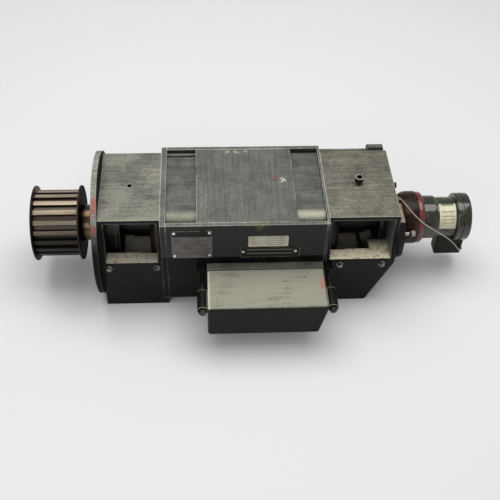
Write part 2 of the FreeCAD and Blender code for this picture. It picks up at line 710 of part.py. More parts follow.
def bearings():
    race = "(de_inner_race + 2 * roller_radius + 2 * roller_clearance)"
    lip = f"({race} - race_lip)"
    pocket_half = "(roller_length / 2 + cage_ring + pin_clearance)"
    profile = [(DE_BEARING, lip), (DE_BEARING, "de_seat_radius")]
    profile += [(DE_BEARING_END, "de_seat_radius"), (DE_BEARING_END, lip)]
    for side in (1, -1):
        place = f"{DE_BEARING_MIDDLE} + {side} * {pocket_half}"
        steps = [(place, lip), (place, race)]
        profile += steps if side > 0 else reversed(steps)
    turned("de_bearing_outer", profile)
    turned("de_bearing_inner", tube(DE_BEARING, "de_bearing_width", "de_journal", "de_inner_race"))

    body = new_body("de_roller_set")
    pitch = "(de_inner_race + roller_radius + roller_clearance)"
    for side in (1, -1):
        middle = f"{DE_BEARING_MIDDLE} + {side} * (roller_length + cage_ring) / 2"
        start = f"{middle} - cage_ring / 2"
        ring = tube(start, "cage_ring", f"{pitch} - cage_height", f"{pitch} + cage_height")
        revolve(body, polygon(new_sketch(body, "XZ_Plane"), ring))
    roller = new_sketch(body, "YZ_Plane", f"{DE_BEARING_MIDDLE} - roller_length / 2")
    circle(roller, "0", pitch, "roller_radius")
    polar(body, [pad(body, roller, "roller_length")], "roller_count")

    lip = "(nde_race_inner + seal_clearance)"
    near = f"{NDE_BEARING} + seal_thickness"
    far = f"{NDE_BEARING_END} - seal_thickness"
    profile = [(NDE_BEARING, lip), (NDE_BEARING, "nde_seat_radius")]
    profile += [(NDE_BEARING_END, "nde_seat_radius"), (NDE_BEARING_END, lip), (far, lip)]
    profile += [(far, "nde_race_outer"), (near, "nde_race_outer"), (near, lip)]
    turned("nde_bearing_outer", profile)
    turned("nde_bearing_inner", tube(NDE_BEARING, "nde_bearing_width", "nde_journal", "nde_race_inner"))

    bore = "de_shoulder + cap_clearance"
    turned("de_bearing_cap", tube(DE_HUB_END, "cap_thickness", bore, "de_hub_radius"))
    bore = "nde_shoulder + cap_clearance"
    cap_start = f"{NDE_HUB_START} - cap_thickness"
    turned("nde_bearing_cap", tube(cap_start, "cap_thickness", bore, "nde_hub_radius"))

    seal = tube(f"{SPIGOT_FACE} + seal_thickness", "de_lip - 2 * seal_thickness",
                "seal_seat + seal_clearance", "de_lip_bore")
    turned("de_shaft_seal", seal)


# Rotor


def shaft():
    steps = [(SHAFT_END, "extension_radius"), (SPIGOT_FACE, "seal_seat"), (DE_BEARING, "de_journal")]
    steps += [(DE_BEARING_END, "de_shoulder"), (f"{DE_BEARING_END} + shoulder_length", "shaft_body")]
    steps += [(CORE_DE, "core_seat"), (CORE_NDE, "shaft_body")]
    steps += [(f"{NDE_BEARING} - shoulder_length", "nde_shoulder"), (NDE_BEARING, "nde_journal")]
    steps += [(NDE_BEARING_END, "stub_radius")]
    ends = [place for place, radius in steps[1:]] + [STUB_END]
    profile = [(SHAFT_END, "0")]
    for (start, radius), end in zip(steps, ends):
        profile += [(start, radius), (end, radius)]
    body = turned("shaft", profile + [(STUB_END, "0")])
    thread = circle(new_sketch(body, "YZ_Plane", SHAFT_END), "0", "0", "end_bolt_radius")
    pocket(body, thread, "end_bolt_length")
    keyway = new_sketch(body, "YZ_Plane", KEY_START)
    rectangle(keyway, "-key_width / 2", "key_width / 2", KEY_FOOT, "extension_radius + key_depth")
    pocket(body, keyway, "key_length")


KEY_FOOT = "(extension_radius - key_depth)"
KEY_START = f"({PULLEY_INNER} + pulley_hub_length - key_length - key_depth)"


def rotor():
    shaft()
    body = new_body("shaft_key")
    key = new_sketch(body, "YZ_Plane", KEY_START)
    rectangle(key, "-key_width / 2", "key_width / 2", KEY_FOOT, f"{KEY_FOOT} + key_height")
    pad(body, key, "key_length")

    body = new_body("rotor_core")
    disc = new_sketch(body, "YZ_Plane", CORE_DE)
    circle(disc, "0", "0", ROTOR_RADIUS)
    circle(disc, "0", "0", "core_seat")
    pad(body, disc, CORE_LENGTH)
    slot = new_sketch(body, "YZ_Plane", CORE_DE)
    rectangle(slot, "-bar_width / 2", "bar_width / 2", BAR_FOOT, BAR_TOP)
    polar(body, [pocket(body, slot, CORE_LENGTH)], "bar_count")

    body = new_body("rotor_cage")
    for start in (f"{CORE_DE} - ring_length", CORE_NDE):
        ring = tube(start, "ring_length", BAR_FOOT, BAR_TOP)
        revolve(body, polygon(new_sketch(body, "XZ_Plane"), ring))
    bar = new_sketch(body, "YZ_Plane", CORE_DE)
    inset = "bar_bridge / 4"
    rectangle(bar, "-bar_width / 2", "bar_width / 2", f"{BAR_FOOT} + {inset}", f"{BAR_TOP} - {inset}")
    polar(body, [pad(body, bar, CORE_LENGTH)], "bar_count")


def pulley():
    body = new_body("pulley")
    disc = circle(new_sketch(body, "YZ_Plane", PULLEY_OUTER), "0", "0", TIP_RADIUS)
    pad(body, disc, "pulley_face")
    hub = circle(new_sketch(body, "YZ_Plane", PULLEY_INNER), "0", "0", "pulley_hub")
    pad(body, hub, "pulley_hub_length")
    groove = new_sketch(body, "YZ_Plane", PULLEY_OUTER)
    floor = f"({TIP_RADIUS} - groove_depth)"
    mouth = f"({TIP_RADIUS} + pitch_line)"
    corners = [("groove_floor / 2", floor), ("groove_mouth / 2", TIP_RADIUS), ("groove_mouth / 2", mouth)]
    polygon(groove, corners + [(f"-({across})", up) for across, up in reversed(corners)])
    polar(body, [pocket(body, groove, "pulley_face")], "tooth_count")
    pocket(body, circle(new_sketch(body, "YZ_Plane"), "0", "0", "extension_radius"))
    recess = new_sketch(body, "YZ_Plane", PULLEY_OUTER)
    circle(recess, "0", "0", "washer_radius + recess_clearance")
    pocket(body, recess, f"{WASHER_END} - {PULLEY_OUTER}")
    keyway = new_sketch(body, "YZ_Plane", WASHER_END)
    rectangle(keyway, "-key_width / 2", "key_width / 2", "0", f"{KEY_FOOT} + key_height + pin_clearance")
    pocket(body, keyway, f"{PULLEY_INNER} + pulley_hub_length - {WASHER_END}")

    foot = f"({TIP_RADIUS} - rim_overlap)"
    for label, face, way in (("pulley_rim_outer", PULLEY_OUTER, -1), ("pulley_rim_inner", PULLEY_INNER, 1)):
        back = f"({face} + {way} * rim_thickness)"
        lean = f"{way} * rim_flare"
        profile = [(face, foot), (face, TIP_RADIUS), (f"{face} + {lean}", "rim_radius")]
        profile += [(f"{back} + {lean}", "rim_radius"), (back, TIP_RADIUS), (back, foot)]
        turned(label, profile)

    turned("pulley_washer", tube(f"{WASHER_END} - washer_thickness", "washer_thickness",
                                 "end_bolt_radius + pin_clearance", "washer_radius"))
    body = new_body("pulley_bolt")
    head = new_sketch(body, "YZ_Plane", f"{WASHER_END} - washer_thickness - end_bolt_head_height")
    pad(body, hexagon(head, "0", "0", "end_bolt_head"), "end_bolt_head_height")
    shank_start = f"({WASHER_END} - washer_thickness)"
    shank = circle(new_sketch(body, "YZ_Plane", shank_start), "0", "0", "end_bolt_radius - pin_clearance")
    pad(body, shank, f"{SHAFT_END} + end_bolt_length - seal_thickness - {shank_start}")


WASHER_END = f"({SHAFT_END} - seal_thickness)"


# Terminal box

BOX_MIDDLE = "((box_right - box_left) / 2)"
BOX_CENTRE = "(-(box_top + box_bottom) / 2)"
BASE_FRONT = "(frame_width / 2 + base_depth)"
COVER_BACK = f"({BASE_FRONT} + gasket_depth)"
COVER_FRONT = f"({COVER_BACK} + cover_depth)"
EAR_FRONT = f"({COVER_FRONT} - ear_setback)"
BOARD_BACK = "(frame_width / 2 + box_wall)"
EAR_PLACES = ("-box_left - ear_offset", "box_right + ear_offset")


def box_outline(sketch, inset):
    """The box seen from the front, its right side slanting in towards the bottom."""
    low = f"-box_bottom + {inset}"
    left = f"-box_left + {inset}"
    corners = [(left, low), (left, f"-box_top - {inset}"), (f"box_right - {inset}", f"-box_top - {inset}")]
    corners += [(f"box_right - {inset}", "-box_cut_drop"), (f"box_right - box_cut_run - {inset}", low)]
    return polygon(sketch, corners)


def ears(sketch, radius):
    for place in EAR_PLACES:
        circle(sketch, place, "-ear_drop", radius)
    return sketch


def terminal_box():
    body = new_body("terminal_base")
    pad(body, box_outline(new_sketch(body, "XZ_Plane", "frame_width / 2"), "0"), "base_depth")
    pad(body, ears(new_sketch(body, "XZ_Plane", "frame_width / 2"), "ear_radius"), "base_depth")
    pocket(body, box_outline(new_sketch(body, "XZ_Plane", BOARD_BACK), "box_wall"), "base_depth")
    lead_hole = new_sketch(body, "XZ_Plane", "frame_width / 2")
    pocket(body, circle(lead_hole, BOX_MIDDLE, BOX_CENTRE, "lead_hole"), "box_wall")
    bolts = "cover_bolt + pin_clearance"
    pocket(body, ears(new_sketch(body, "XZ_Plane", "frame_width / 2"), bolts), "base_depth")

    body = new_body("terminal_gasket")
    ring = box_outline(new_sketch(body, "XZ_Plane", BASE_FRONT), "0")
    pad(body, box_outline(ring, "box_wall"), "gasket_depth")

    body = new_body("terminal_cover")
    pad(body, box_outline(new_sketch(body, "XZ_Plane", COVER_BACK), "0"), "cover_depth")
    front = -number(COVER_FRONT)
    along_y = straight_edges_along(Y_WAY)

    def outer_edges(edge):
        on_front = all(abs(vertex.Point.y - front) < Part.Precision.confusion() for vertex in edge.Vertexes)
        return on_front or along_y(edge)

    fillet(body, outer_edges, "box_round")
    pocket(body, box_outline(new_sketch(body, "XZ_Plane", COVER_BACK), "box_wall"), "cover_depth - box_wall")
    pad(body, ears(new_sketch(body, "XZ_Plane", f"{EAR_FRONT} - ear_length"), "ear_radius"), "ear_length")
    pocket(body, ears(new_sketch(body, "XZ_Plane", f"{EAR_FRONT} - ear_length"), bolts), "ear_length")
    entries = new_sketch(body, "XY_Plane", "-box_bottom")
    for place in ENTRY_PLACES:
        circle(entries, place, ENTRY_DEPTH, "entry_radius")
    pocket(body, entries, "box_wall")

    body = new_body("terminal_cover_bolts")
    washer_front = f"({EAR_FRONT} + cover_bolt_washer_height)"
    pad(body, ears(new_sketch(body, "XZ_Plane", EAR_FRONT), "cover_bolt_washer"), "cover_bolt_washer_height")
    head = new_sketch(body, "XZ_Plane", washer_front)
    for place in EAR_PLACES:
        hexagon(head, place, "-ear_drop", "cover_bolt_head")
    pad(body, head, "cover_bolt_head_height")
    shank = ears(new_sketch(body, "XZ_Plane", "frame_width / 2 + box_wall"), "cover_bolt")
    pad(body, shank, f"{EAR_FRONT} - frame_width / 2 - box_wall")

    terminal_board()
    entry_plugs()


ENTRY_DEPTH = f"(-({COVER_BACK} + cover_depth / 2))"
ENTRY_MIDDLE = f"({BOX_MIDDLE} - box_cut_run)"
ENTRY_PLACES = (f"{ENTRY_MIDDLE} - entry_pitch / 2", f"{ENTRY_MIDDLE} + entry_pitch / 2")


def stud_places():
    rows = (f"{BOX_CENTRE} - stud_row_distance / 2", f"{BOX_CENTRE} + stud_row_distance / 2")
    columns = [f"{BOX_MIDDLE} + {step} * stud_pitch" for step in (-1, 0, 1)]
    return [(column, row) for row in rows for column in columns]


def terminal_board():
    body = new_body("terminal_board")
    board = new_sketch(body, "XZ_Plane", BOARD_BACK)
    rectangle(board, f"{BOX_MIDDLE} - board_length / 2", f"{BOX_MIDDLE} + board_length / 2",
              f"{BOX_CENTRE} - board_height / 2", f"{BOX_CENTRE} + board_height / 2")
    for place in stud_places():
        circle(board, *place, "stud_radius + pin_clearance")
    pad(body, board, "board_thickness")

    body = new_body("terminal_studs")
    studs = new_sketch(body, "XZ_Plane", BOARD_BACK)
    nuts = new_sketch(body, "XZ_Plane", f"{BOARD_BACK} + board_thickness")
    for place in stud_places():
        circle(studs, *place, "stud_radius")
        hexagon(nuts, *place, "nut_radius")
    pad(body, studs, "board_thickness + stud_length")
    pad(body, nuts, "nut_height")

    body = new_body("winding_leads")
    leads = new_sketch(body, "XZ_Plane", CORE_HALF)
    count = int(number("lead_count"))
    for step in range(count):
        turn = f"{360 / count * step} deg"
        across = f"{BOX_MIDDLE} + lead_circle * cos({turn})"
        circle(leads, across, f"{BOX_CENTRE} + lead_circle * sin({turn})", "lead_radius")
    pad(body, leads, f"{BOARD_BACK} - {CORE_HALF}")


def entry_plugs():
    body = new_body("entry_plugs")
    threads = new_sketch(body, "XY_Plane", "-box_bottom")
    heads = new_sketch(body, "XY_Plane", "-box_bottom - plug_head_height")
    for place in ENTRY_PLACES:
        circle(threads, place, ENTRY_DEPTH, "entry_radius - pin_clearance")
        hexagon(heads, place, ENTRY_DEPTH, "plug_head")
    pad(body, heads, "plug_head_height")
    pad(body, threads, "box_wall")


# Lifting screw and lug


def lifting_pieces():
    body = new_body("lifting_screw")
    place = (f"{PLATE_BACK} - nde_eye_inset", "0")
    shank = new_sketch(body, "XY_Plane", "frame_top - roof")
    pad(body, circle(shank, *place, "eye_hole - pin_clearance"), "roof")
    washer = new_sketch(body, "XY_Plane", "frame_top")
    pad(body, circle(washer, *place, "eye_washer"), "eye_washer_height")
    head = new_sketch(body, "XY_Plane", "frame_top + eye_washer_height")
    pad(body, circle(head, *place, "eye_screw_head"), "eye_screw_head_height")
    head_top = "frame_top + eye_washer_height + eye_screw_head_height"
    socket = new_sketch(body, "XY_Plane", f"{head_top} - eye_screw_socket_depth")
    pocket(body, hexagon(socket, *place, "eye_screw_socket"), "eye_screw_socket_depth")

    body = new_body("rear_lug")
    right = f"{PLATE_BACK} - lug_inset"
    plate = new_sketch(body, "XZ_Plane", "-hood_width / 2 - lug_thickness")
    rectangle(plate, f"{right} - lug_length", right, "frame_top - lug_drop", "frame_top + lug_rise")
    pad(body, plate, "lug_thickness")
    top = number("frame_top + lug_rise")
    along_y = straight_edges_along(Y_WAY)
    fillet(body, lambda edge: along_y(edge) and abs(edge.Vertexes[0].Point.z - top) < 0.001, "lug_rise * 0.8")


# Encoder

BELL_TURN = "(bell_bolt_turn * 1 deg)"
BELL_BOLT = (f"-bell_bolt_circle * cos{BELL_TURN}", f"bell_bolt_circle * sin{BELL_TURN}")


def encoder_bell():
    neck_end = f"({PLATE_FRONT} + neck_length)"
    inner = "(bell_radius - bell_wall)"
    front = f"({BELL_END} - bell_front)"
    profile = [(PLATE_FRONT, f"{inner} - bell_bevel"), (PLATE_FRONT, "neck_radius")]
    profile += [(neck_end, "neck_radius"), (neck_end, "bell_radius - bell_bevel")]
    profile += [(f"{neck_end} + bell_bevel", "bell_radius")]
    profile += [(f"{BELL_END} - bell_bevel", "bell_radius"), (BELL_END, "bell_radius - bell_bevel")]
    profile += [(BELL_END, "bell_bore"), (front, "bell_bore"), (front, f"{inner} - bell_bevel")]
    body = turned("encoder_bell", profile)
    lug = new_sketch(body, "YZ_Plane", f"{PLATE_FRONT} + bell_lug_start")
    lugs = [pad(body, circle(lug, *BELL_BOLT, "lug_radius"), "bell_lug_length")]
    hole = new_sketch(body, "YZ_Plane", f"{PLATE_FRONT} + bell_lug_start")
    circle(hole, *BELL_BOLT, "bolt_shank + pin_clearance")
    lugs += [pocket(body, hole, "bell_lug_length")]
    polar(body, lugs, "2")

    body = new_body("encoder_bolts")
    lug_end = f"{PLATE_FRONT} + bell_lug_start + bell_lug_length"
    shank = circle(new_sketch(body, "YZ_Plane", f"{PLATE_FRONT} - bell_bolt_grip"), *BELL_BOLT, "bolt_shank")
    bolts = [pad(body, shank, "bell_bolt_grip + bell_lug_start + bell_lug_length")]
    head = new_sketch(body, "YZ_Plane", lug_end)
    bolts += [pad(body, hexagon(head, *BELL_BOLT, "bolt_head"), "bolt_head_height")]
    polar(body, bolts, "2")


def encoder_body():
    turned("encoder_ring", tube(BELL_END, "ring_depth", "ring_bore", "ring_radius"))
    shaft_hole = "(encoder_shaft_radius + encoder_shaft_clearance)"
    opening_end = f"({BODY_START} + encoder_bore_depth)"
    bearing_end = f"({opening_end} + encoder_bearing)"
    collar_end = f"({BODY_START} + encoder_collar_length)"
    profile = [(BODY_START, "encoder_bore"), (BODY_START, "encoder_collar"), (collar_end, "encoder_collar")]
    profile += [(collar_end, "encoder_radius"), (BODY_END, "encoder_radius")]
    profile += [(BODY_END, "0"), (bearing_end, "0"), (bearing_end, shaft_hole)]
    profile += [(opening_end, shaft_hole), (opening_end, "encoder_bore")]
    turned("encoder_body", profile)

    cap_end = f"({BODY_END} + cap_length)"
    groove = f"({BODY_END} + cap_length / 2)"
    low = "(cap_radius - cap_groove)"
    profile = [(BODY_END, "0"), (BODY_END, "cap_radius"), (f"{groove} - cap_groove", "cap_radius")]
    profile += [(f"{groove} - cap_groove", low), (f"{groove} + cap_groove", low)]
    profile += [(f"{groove} + cap_groove", "cap_radius"), (f"{cap_end} - cap_bevel", "cap_radius")]
    turned("encoder_cap", profile + [(cap_end, "cap_radius - cap_bevel"), (cap_end, "0")])

    shaft_start = f"({opening_end} - encoder_shaft_length)"
    shaft_length = "encoder_shaft_length + encoder_bearing - pin_clearance"
    body = new_body("encoder_shaft")
    rod = circle(new_sketch(body, "YZ_Plane", shaft_start), "0", "0", "encoder_shaft_radius")
    pad(body, rod, shaft_length)

    start = f"({STUB_END} - coupling_length / 2 + coupling_groove)"
    middle = f"({STUB_END} + coupling_groove)"
    end = f"({start} + coupling_length)"
    profile = [(start, "stub_radius"), (start, "coupling_radius")]
    low = "coupling_radius - coupling_groove"
    profile += [(f"{middle} - coupling_groove", "coupling_radius"), (f"{middle} - coupling_groove", low)]
    profile += [(f"{middle} + coupling_groove", low), (f"{middle} + coupling_groove", "coupling_radius")]
    profile += [(end, "coupling_radius"), (end, "encoder_shaft_radius")]
    profile += [(STUB_END, "encoder_shaft_radius"), (STUB_END, "stub_radius")]
    turned("encoder_coupling", profile)


CONNECTOR_START = f"({BODY_START} + connector_start)"


def encoder_connector():
    body = new_body("encoder_connector")
    block = new_sketch(body, "YZ_Plane", CONNECTOR_START)
    rectangle(block, "-connector_width / 2", "connector_width / 2", "-connector_drop", "-encoder_radius / 2")
    pad(body, block, "connector_length")
    along_z = straight_edges_along(Vector(0, 0, 1))
    fillet(body, along_z, "connector_width / 9")
    seats = (("encoder_radius", CONNECTOR_START), ("cap_radius", BODY_END))
    for radius, start in seats:
        seat = circle(new_sketch(body, "YZ_Plane", start), "0", "0", f"{radius} + connector_seat")
        pocket(body, seat, "connector_length")
    for step in range(int(number("rib_count"))):
        groove = new_sketch(body, "XZ_Plane", "connector_width / 2 - rib_depth")
        low = f"-connector_drop + {step + 0.6} * rib_pitch"
        left = f"{CONNECTOR_START} + connector_width / 9"
        rectangle(groove, left, f"{left} + rib_length", low, f"{low} + rib_pitch / 2")
        pocket(body, groove, "rib_depth")


def wire_path(points):
    """Straight runs joined by tangent arcs, each as large as its two runs allow."""
    edges = []
    start = points[0]
    for before, corner, after in zip(points, points[1:], points[2:]):
        inward = (before - corner).normalize()
        onward = (after - corner).normalize()
        half_turn = (math.pi - inward.getAngle(onward)) / 2
        reach = 0.45 * min((before - corner).Length, (after - corner).Length)
        radius = reach / math.tan(half_turn)
        print(f"earth lead bend radius {radius:.0f} mm")
        middle_way = (inward + onward).normalize()
        centre = corner + middle_way * (radius / math.cos(half_turn))
        leave = corner + inward * reach
        join = corner + onward * reach
        edges.append(Part.makeLine(start, leave))
        edges.append(Part.Arc(leave, centre - middle_way * radius, join).toShape())
        start = join
    edges.append(Part.makeLine(start, points[-1]))
    return Part.Wire(edges)


def earth_lead():
    """Runs from the top of the end plate past the bell to the side of the plug housing."""
    plate_top = number("end_plate_top")
    plate = number(PLATE_FRONT)
    thickness = number("end_plate_thickness")
    bell = number("bell_radius")
    bell_length = number("bell_length")
    plug = number(CONNECTOR_START)
    plug_length = number("connector_length")
    plug_width = number("connector_width")
    plug_side = -plug_width / 2
    eyelet = number("-0.8 * connector_drop")
    radius = number("wire_radius")
    points = [Vector(plate - 0.57 * thickness, -0.42 * bell, plate_top)]
    points += [Vector(plate - 0.29 * thickness, -0.5 * bell, plate_top + 0.2 * bell)]
    points += [Vector(plate + 0.93 * bell_length, -1.09 * bell, 0.81 * bell)]
    points += [Vector(plug + 0.27 * plug_length, -bell, -0.25 * bell)]
    points += [Vector(plug + 0.9 * plug_length, plug_side - 0.26 * plug_width, eyelet)]
    points += [Vector(plug + 0.9 * plug_length, plug_side, eyelet)]
    path = wire_path(points)
    first = path.Edges[0]
    section = Part.Wire(Part.makeCircle(radius, first.valueAt(0), first.tangentAt(0)))
    lead = doc.addObject("Part::Feature", "earth_lead")
    lead.Label = "earth_lead"
    lead.Shape = path.makePipeShell([section], True, False)
    lead.Placement.Base = Vector(0, 0, number("axis_height"))
    PARTS.append(lead)
    expected = math.pi * radius ** 2 * path.Length
    print(f"earth lead volume over section times length: {lead.Shape.Volume / expected:.3f}")


def encoder():
    encoder_bell()
    encoder_body()
    encoder_connector()
    earth_lead()


# Check and write


def faults():
    found = []
    for item in doc.Objects:
        if "Invalid" in item.State or "Error" in item.State:
            found.append(f"{item.Label} is {item.State}")
        if item.TypeId == "PartDesign::Pocket" and item.BaseFeature:
            if item.Shape.Volume >= item.BaseFeature.Shape.Volume - 0.001:
                found.append(f"{item.Label} cuts nothing")
    for part in PARTS:
        if part.Shape.isNull() or not part.Shape.isValid() or not part.Shape.Solids:
            found.append(f"{part.Label} has no valid solid")
    return found


stator_frame()
housings()
bearings()
rotor()
pulley()
terminal_box()
lifting_pieces()
encoder()
doc.recompute()

problems = faults()
if problems:
    raise RuntimeError("; ".join(problems))

os.makedirs("parts", exist_ok=True)
for part in PARTS:
    part.Shape.exportStep(f"parts/{part.Label}.step")
print(len(PARTS), "sub-parts written")
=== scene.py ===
# %% [markdown]
# # A used three-phase motor
# The motor is a welded and cast steel machine that has run for years: black paint gone
# grey with dust on top, bright worn edges, a browned belt pulley and a glossy encoder.
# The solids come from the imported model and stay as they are. This lesson gives them
# finishes, adds the small trim, and sets the camera and the light.

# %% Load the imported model
import math
from types import SimpleNamespace

import bmesh
import bpy
from mathutils import Matrix, Vector


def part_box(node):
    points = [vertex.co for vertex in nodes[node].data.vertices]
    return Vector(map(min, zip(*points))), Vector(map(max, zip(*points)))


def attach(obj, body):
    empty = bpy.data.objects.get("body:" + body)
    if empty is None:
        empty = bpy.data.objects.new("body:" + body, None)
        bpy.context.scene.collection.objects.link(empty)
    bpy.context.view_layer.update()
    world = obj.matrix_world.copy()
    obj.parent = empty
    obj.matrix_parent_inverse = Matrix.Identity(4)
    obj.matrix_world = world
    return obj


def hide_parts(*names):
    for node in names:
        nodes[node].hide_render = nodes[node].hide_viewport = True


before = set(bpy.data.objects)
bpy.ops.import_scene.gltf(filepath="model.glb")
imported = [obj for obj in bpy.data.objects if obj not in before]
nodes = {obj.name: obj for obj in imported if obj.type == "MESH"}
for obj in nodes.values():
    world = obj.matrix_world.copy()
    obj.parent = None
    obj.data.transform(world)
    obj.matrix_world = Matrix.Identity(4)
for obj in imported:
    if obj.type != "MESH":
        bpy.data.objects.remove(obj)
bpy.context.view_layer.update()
X, Y, Z = range(3)
AXIS_HEIGHT = 0.132
print(len(nodes), "solids loaded")

# %% [markdown]
# ## The camera
# The motor was photographed from the front and from well above. A camera is placed by
# its own position and the point it looks at, and then it is turned a little about its
# line of sight, because the picture isn't quite level.

# %% Place the camera
eye = Vector((-0.07895, -1.22768, 1.38532))
target = Vector((0.0202, 0.0, 0.03508))
camera_roll = math.radians(2.38)

forward = (target - eye).normalized()
level = forward.cross(Vector((0, 0, 1))).normalized()
rising = level.cross(forward)
right = level * math.cos(camera_roll) + rising * math.sin(camera_roll)
up = right.cross(forward)
camera_turn = Matrix((right, up, -forward)).transposed().to_4x4()
camera_data = bpy.data.cameras.new("camera")
camera_data.sensor_width = 36
camera_data.lens = 59.04
camera = bpy.data.objects.new("camera", camera_data)
camera.matrix_world = Matrix.Translation(eye) @ camera_turn
bpy.context.scene.collection.objects.link(camera)
bpy.context.scene.camera = camera
print("camera", round((target - eye).length, 3), "m from the motor")

# %% [markdown]
# ## Colours and nodes
# Paint and metal colours are written as the hex values a painter would pick from a
# screen. Shader sockets need linear light, so one function converts them. Two more put
# values or links on a node's inputs, and add a node with its settings. A node that is
# given as an input stands for its first output that is in use.

# %% Helpers for every finish
def linear(hex_colour):
    """The linear colour of an sRGB hex value such as #1a1d1f."""
    channels = [int(hex_colour[i:i + 2], 16) / 255 for i in (1, 3, 5)]
    light = [c / 12.92 if c <= 0.04045 else ((c + 0.055) / 1.055) ** 2.4 for c in channels]
    return (*light, 1.0)


def connect(tree, node, inputs):
    """Puts a value or a link on each named input of the node."""
    for socket, value in inputs.items():
        if isinstance(value, bpy.types.Node):
            value = next(output for output in value.outputs if output.enabled)
        if isinstance(value, bpy.types.NodeSocket):
            tree.links.new(value, node.inputs[socket])
        else:
            node.inputs[socket].default_value = value


def add(tree, kind, inputs=None, **settings):
    """A new shader node with its settings and inputs."""
    node = tree.nodes.new("ShaderNode" + kind)
    for name, value in settings.items():
        setattr(node, name, value)
    connect(tree, node, inputs or {})
    return node


def new_material(name):
    material = bpy.data.materials.new(name)
    material.use_nodes = True
    tree = material.node_tree
    return material, tree, tree.nodes["Principled BSDF"]


# %% [markdown]
# ## Floor, world and lamps
# A pale floor gives the plain studio look. Seen by the camera or in a reflection it is
# pale, while the light that it throws back on the motor is that of a grey floor, so the
# fronts stay dark as in a real workshop. One wide lamp hangs above the motor, so the
# upward faces are the brightest, and a weak one fills the front.

# %% Stage and light
def stage_floor():
    bpy.ops.object.select_all(action="DESELECT")
    bpy.ops.mesh.primitive_plane_add(size=14, location=(0, 0, -0.0004))
    floor = bpy.context.object
    floor.name = "floor"
    material, tree, shader = new_material("pale_studio_floor")
    path = add(tree, "LightPath").outputs
    seen = path["Is Camera Ray"]
    for ray in ("Is Glossy Ray", "Is Transmission Ray"):
        seen = add(tree, "Math", {0: seen, 1: path[ray]}, operation="MAXIMUM")
    pale = add(tree, "Mix", {"Factor": seen, "A": linear("#747474"), "B": linear("#f4f4f4")},
               data_type="RGBA")
    connect(tree, shader, {"Base Color": pale, "Roughness": 0.9, "Specular IOR Level": 0.1})
    floor.data.materials.append(material)


def studio_world():
    world = bpy.data.worlds.new("pale_world")
    world.use_nodes = True
    bpy.context.scene.world = world
    background = world.node_tree.nodes["Background"]
    connect(world.node_tree, background, {"Color": linear("#ebebeb"), "Strength": 0.5})


def lamp(name, place, aim, size, power):
    data = bpy.data.lights.new(name, "AREA")
    data.shape = "RECTANGLE"
    data.size, data.size_y = size
    data.energy = power
    light = bpy.data.objects.new(name, data)
    light.location = place
    light.rotation_euler = (Vector(aim) - Vector(place)).to_track_quat("-Z", "Y").to_euler()
    bpy.context.scene.collection.objects.link(light)


stage_floor()
studio_world()
lamp("overhead", place=(0.1, 0.35, 2.2), aim=(0, 0, 0), size=(2.4, 1.4), power=32)
lamp("front_fill", place=(-0.9, -2.0, 1.1), aim=(0, 0, 0.1), size=(1.2, 1.2), power=8)
bpy.context.scene.view_settings.view_transform = "Standard"
print("stage and two lamps set")

# %% [markdown]
# ## Black machine paint
# The housings and frames carry thick black workshop paint. Every layer of dirt on it, and
# every painted shade and highlight, depends on where a point lies and which way it faces,
# so these readings come first, with a coarse noise for blotches and a fine one for grit.
# The rounded normal comes from a Bevel node and leaves the true one only within 3 mm of an edge.

# %% Read the painted surface
GRIT_MM = 3.5
EDGE_REACH = 0.0028


def read_surface(tree, blotch_mm, dust_from, dust_between):
    """Place, direction, noise and edges at each point of a surface."""
    skin = SimpleNamespace()
    skin.place = add(tree, "TexCoord").outputs["Object"]
    skin.normal = add(tree, "NewGeometry").outputs["Normal"]
    skin.along = add(tree, "SeparateXYZ", {"Vector": skin.place}).outputs
    skin.facing = add(tree, "SeparateXYZ", {"Vector": skin.normal}).outputs
    skin.rounded = add(tree, "Bevel", {"Radius": EDGE_REACH}, samples=6)
    skin.blotch = add(tree, "TexNoise", {"Vector": skin.place, "Scale": 1000 / blotch_mm, "Detail": 6.0,
                                         "Roughness": 0.62})
    skin.grit = add(tree, "TexNoise", {"Vector": skin.place, "Scale": 1000 / GRIT_MM, "Detail": 3.0})
    skin.speckles = add(tree, "MapRange", {"Value": skin.grit, "From Min": 0.36, "From Max": 0.6,
                                           "To Min": 0.68})
    skin.upward = add(tree, "MapRange", {"Value": skin.facing["Z"], "From Min": dust_from, "From Max": 0.95})
    # Dust may lie only between two places along one axis; 1.0 stands for everywhere.
    skin.within = 1.0
    if dust_between:
        axis, *limits = dust_between
        for limit, way in zip(limits, ("GREATER_THAN", "LESS_THAN")):
            side = add(tree, "Math", {0: skin.along[axis], 1: limit}, operation=way)
            skin.within = add(tree, "Math", {0: side, 1: skin.within}, operation="MULTIPLY")
    return skin


# %% [markdown]
# ## Painted shade and dust
# Seen from the front the paint is nearly black with brown smudges, and its lower half is
# blacker still, a painted shade. Dust has settled on everything that faces up and turned it
# grey-olive. It is thicker in the blotches and towards the front, broken by fine brush
# streaks, specks and pits, and brushed off the window sills.

# %% Painted shade and dust layers
# Below this height the black paint is darkened as a painted shade.
SHADE_LINE = 0.145
SHADE_BLUR = 0.0015
SILL_HEIGHT = 0.131
SILL_DEPTH = 0.006
PIT_MM = 7


def black_with_painted_shade(tree, skin, dark, shade_below):
    """Black paint with brown smudges, darkened below the shade line as a painted shade."""
    shaded_below = add(tree, "MapRange", {"Value": skin.along["Z"], "From Min": SHADE_LINE + SHADE_BLUR,
                                  "From Max": SHADE_LINE - SHADE_BLUR})
    black = add(tree, "Mix", {"Factor": shaded_below, "A": linear(dark), "B": linear(shade_below)}, data_type="RGBA")
    smudge = add(tree, "MapRange", {"Value": skin.blotch, "From Min": 0.45, "From Max": 0.75, "To Max": 0.3})
    return add(tree, "Mix", {"Factor": smudge, "A": black, "B": linear("#383631")}, data_type="RGBA")


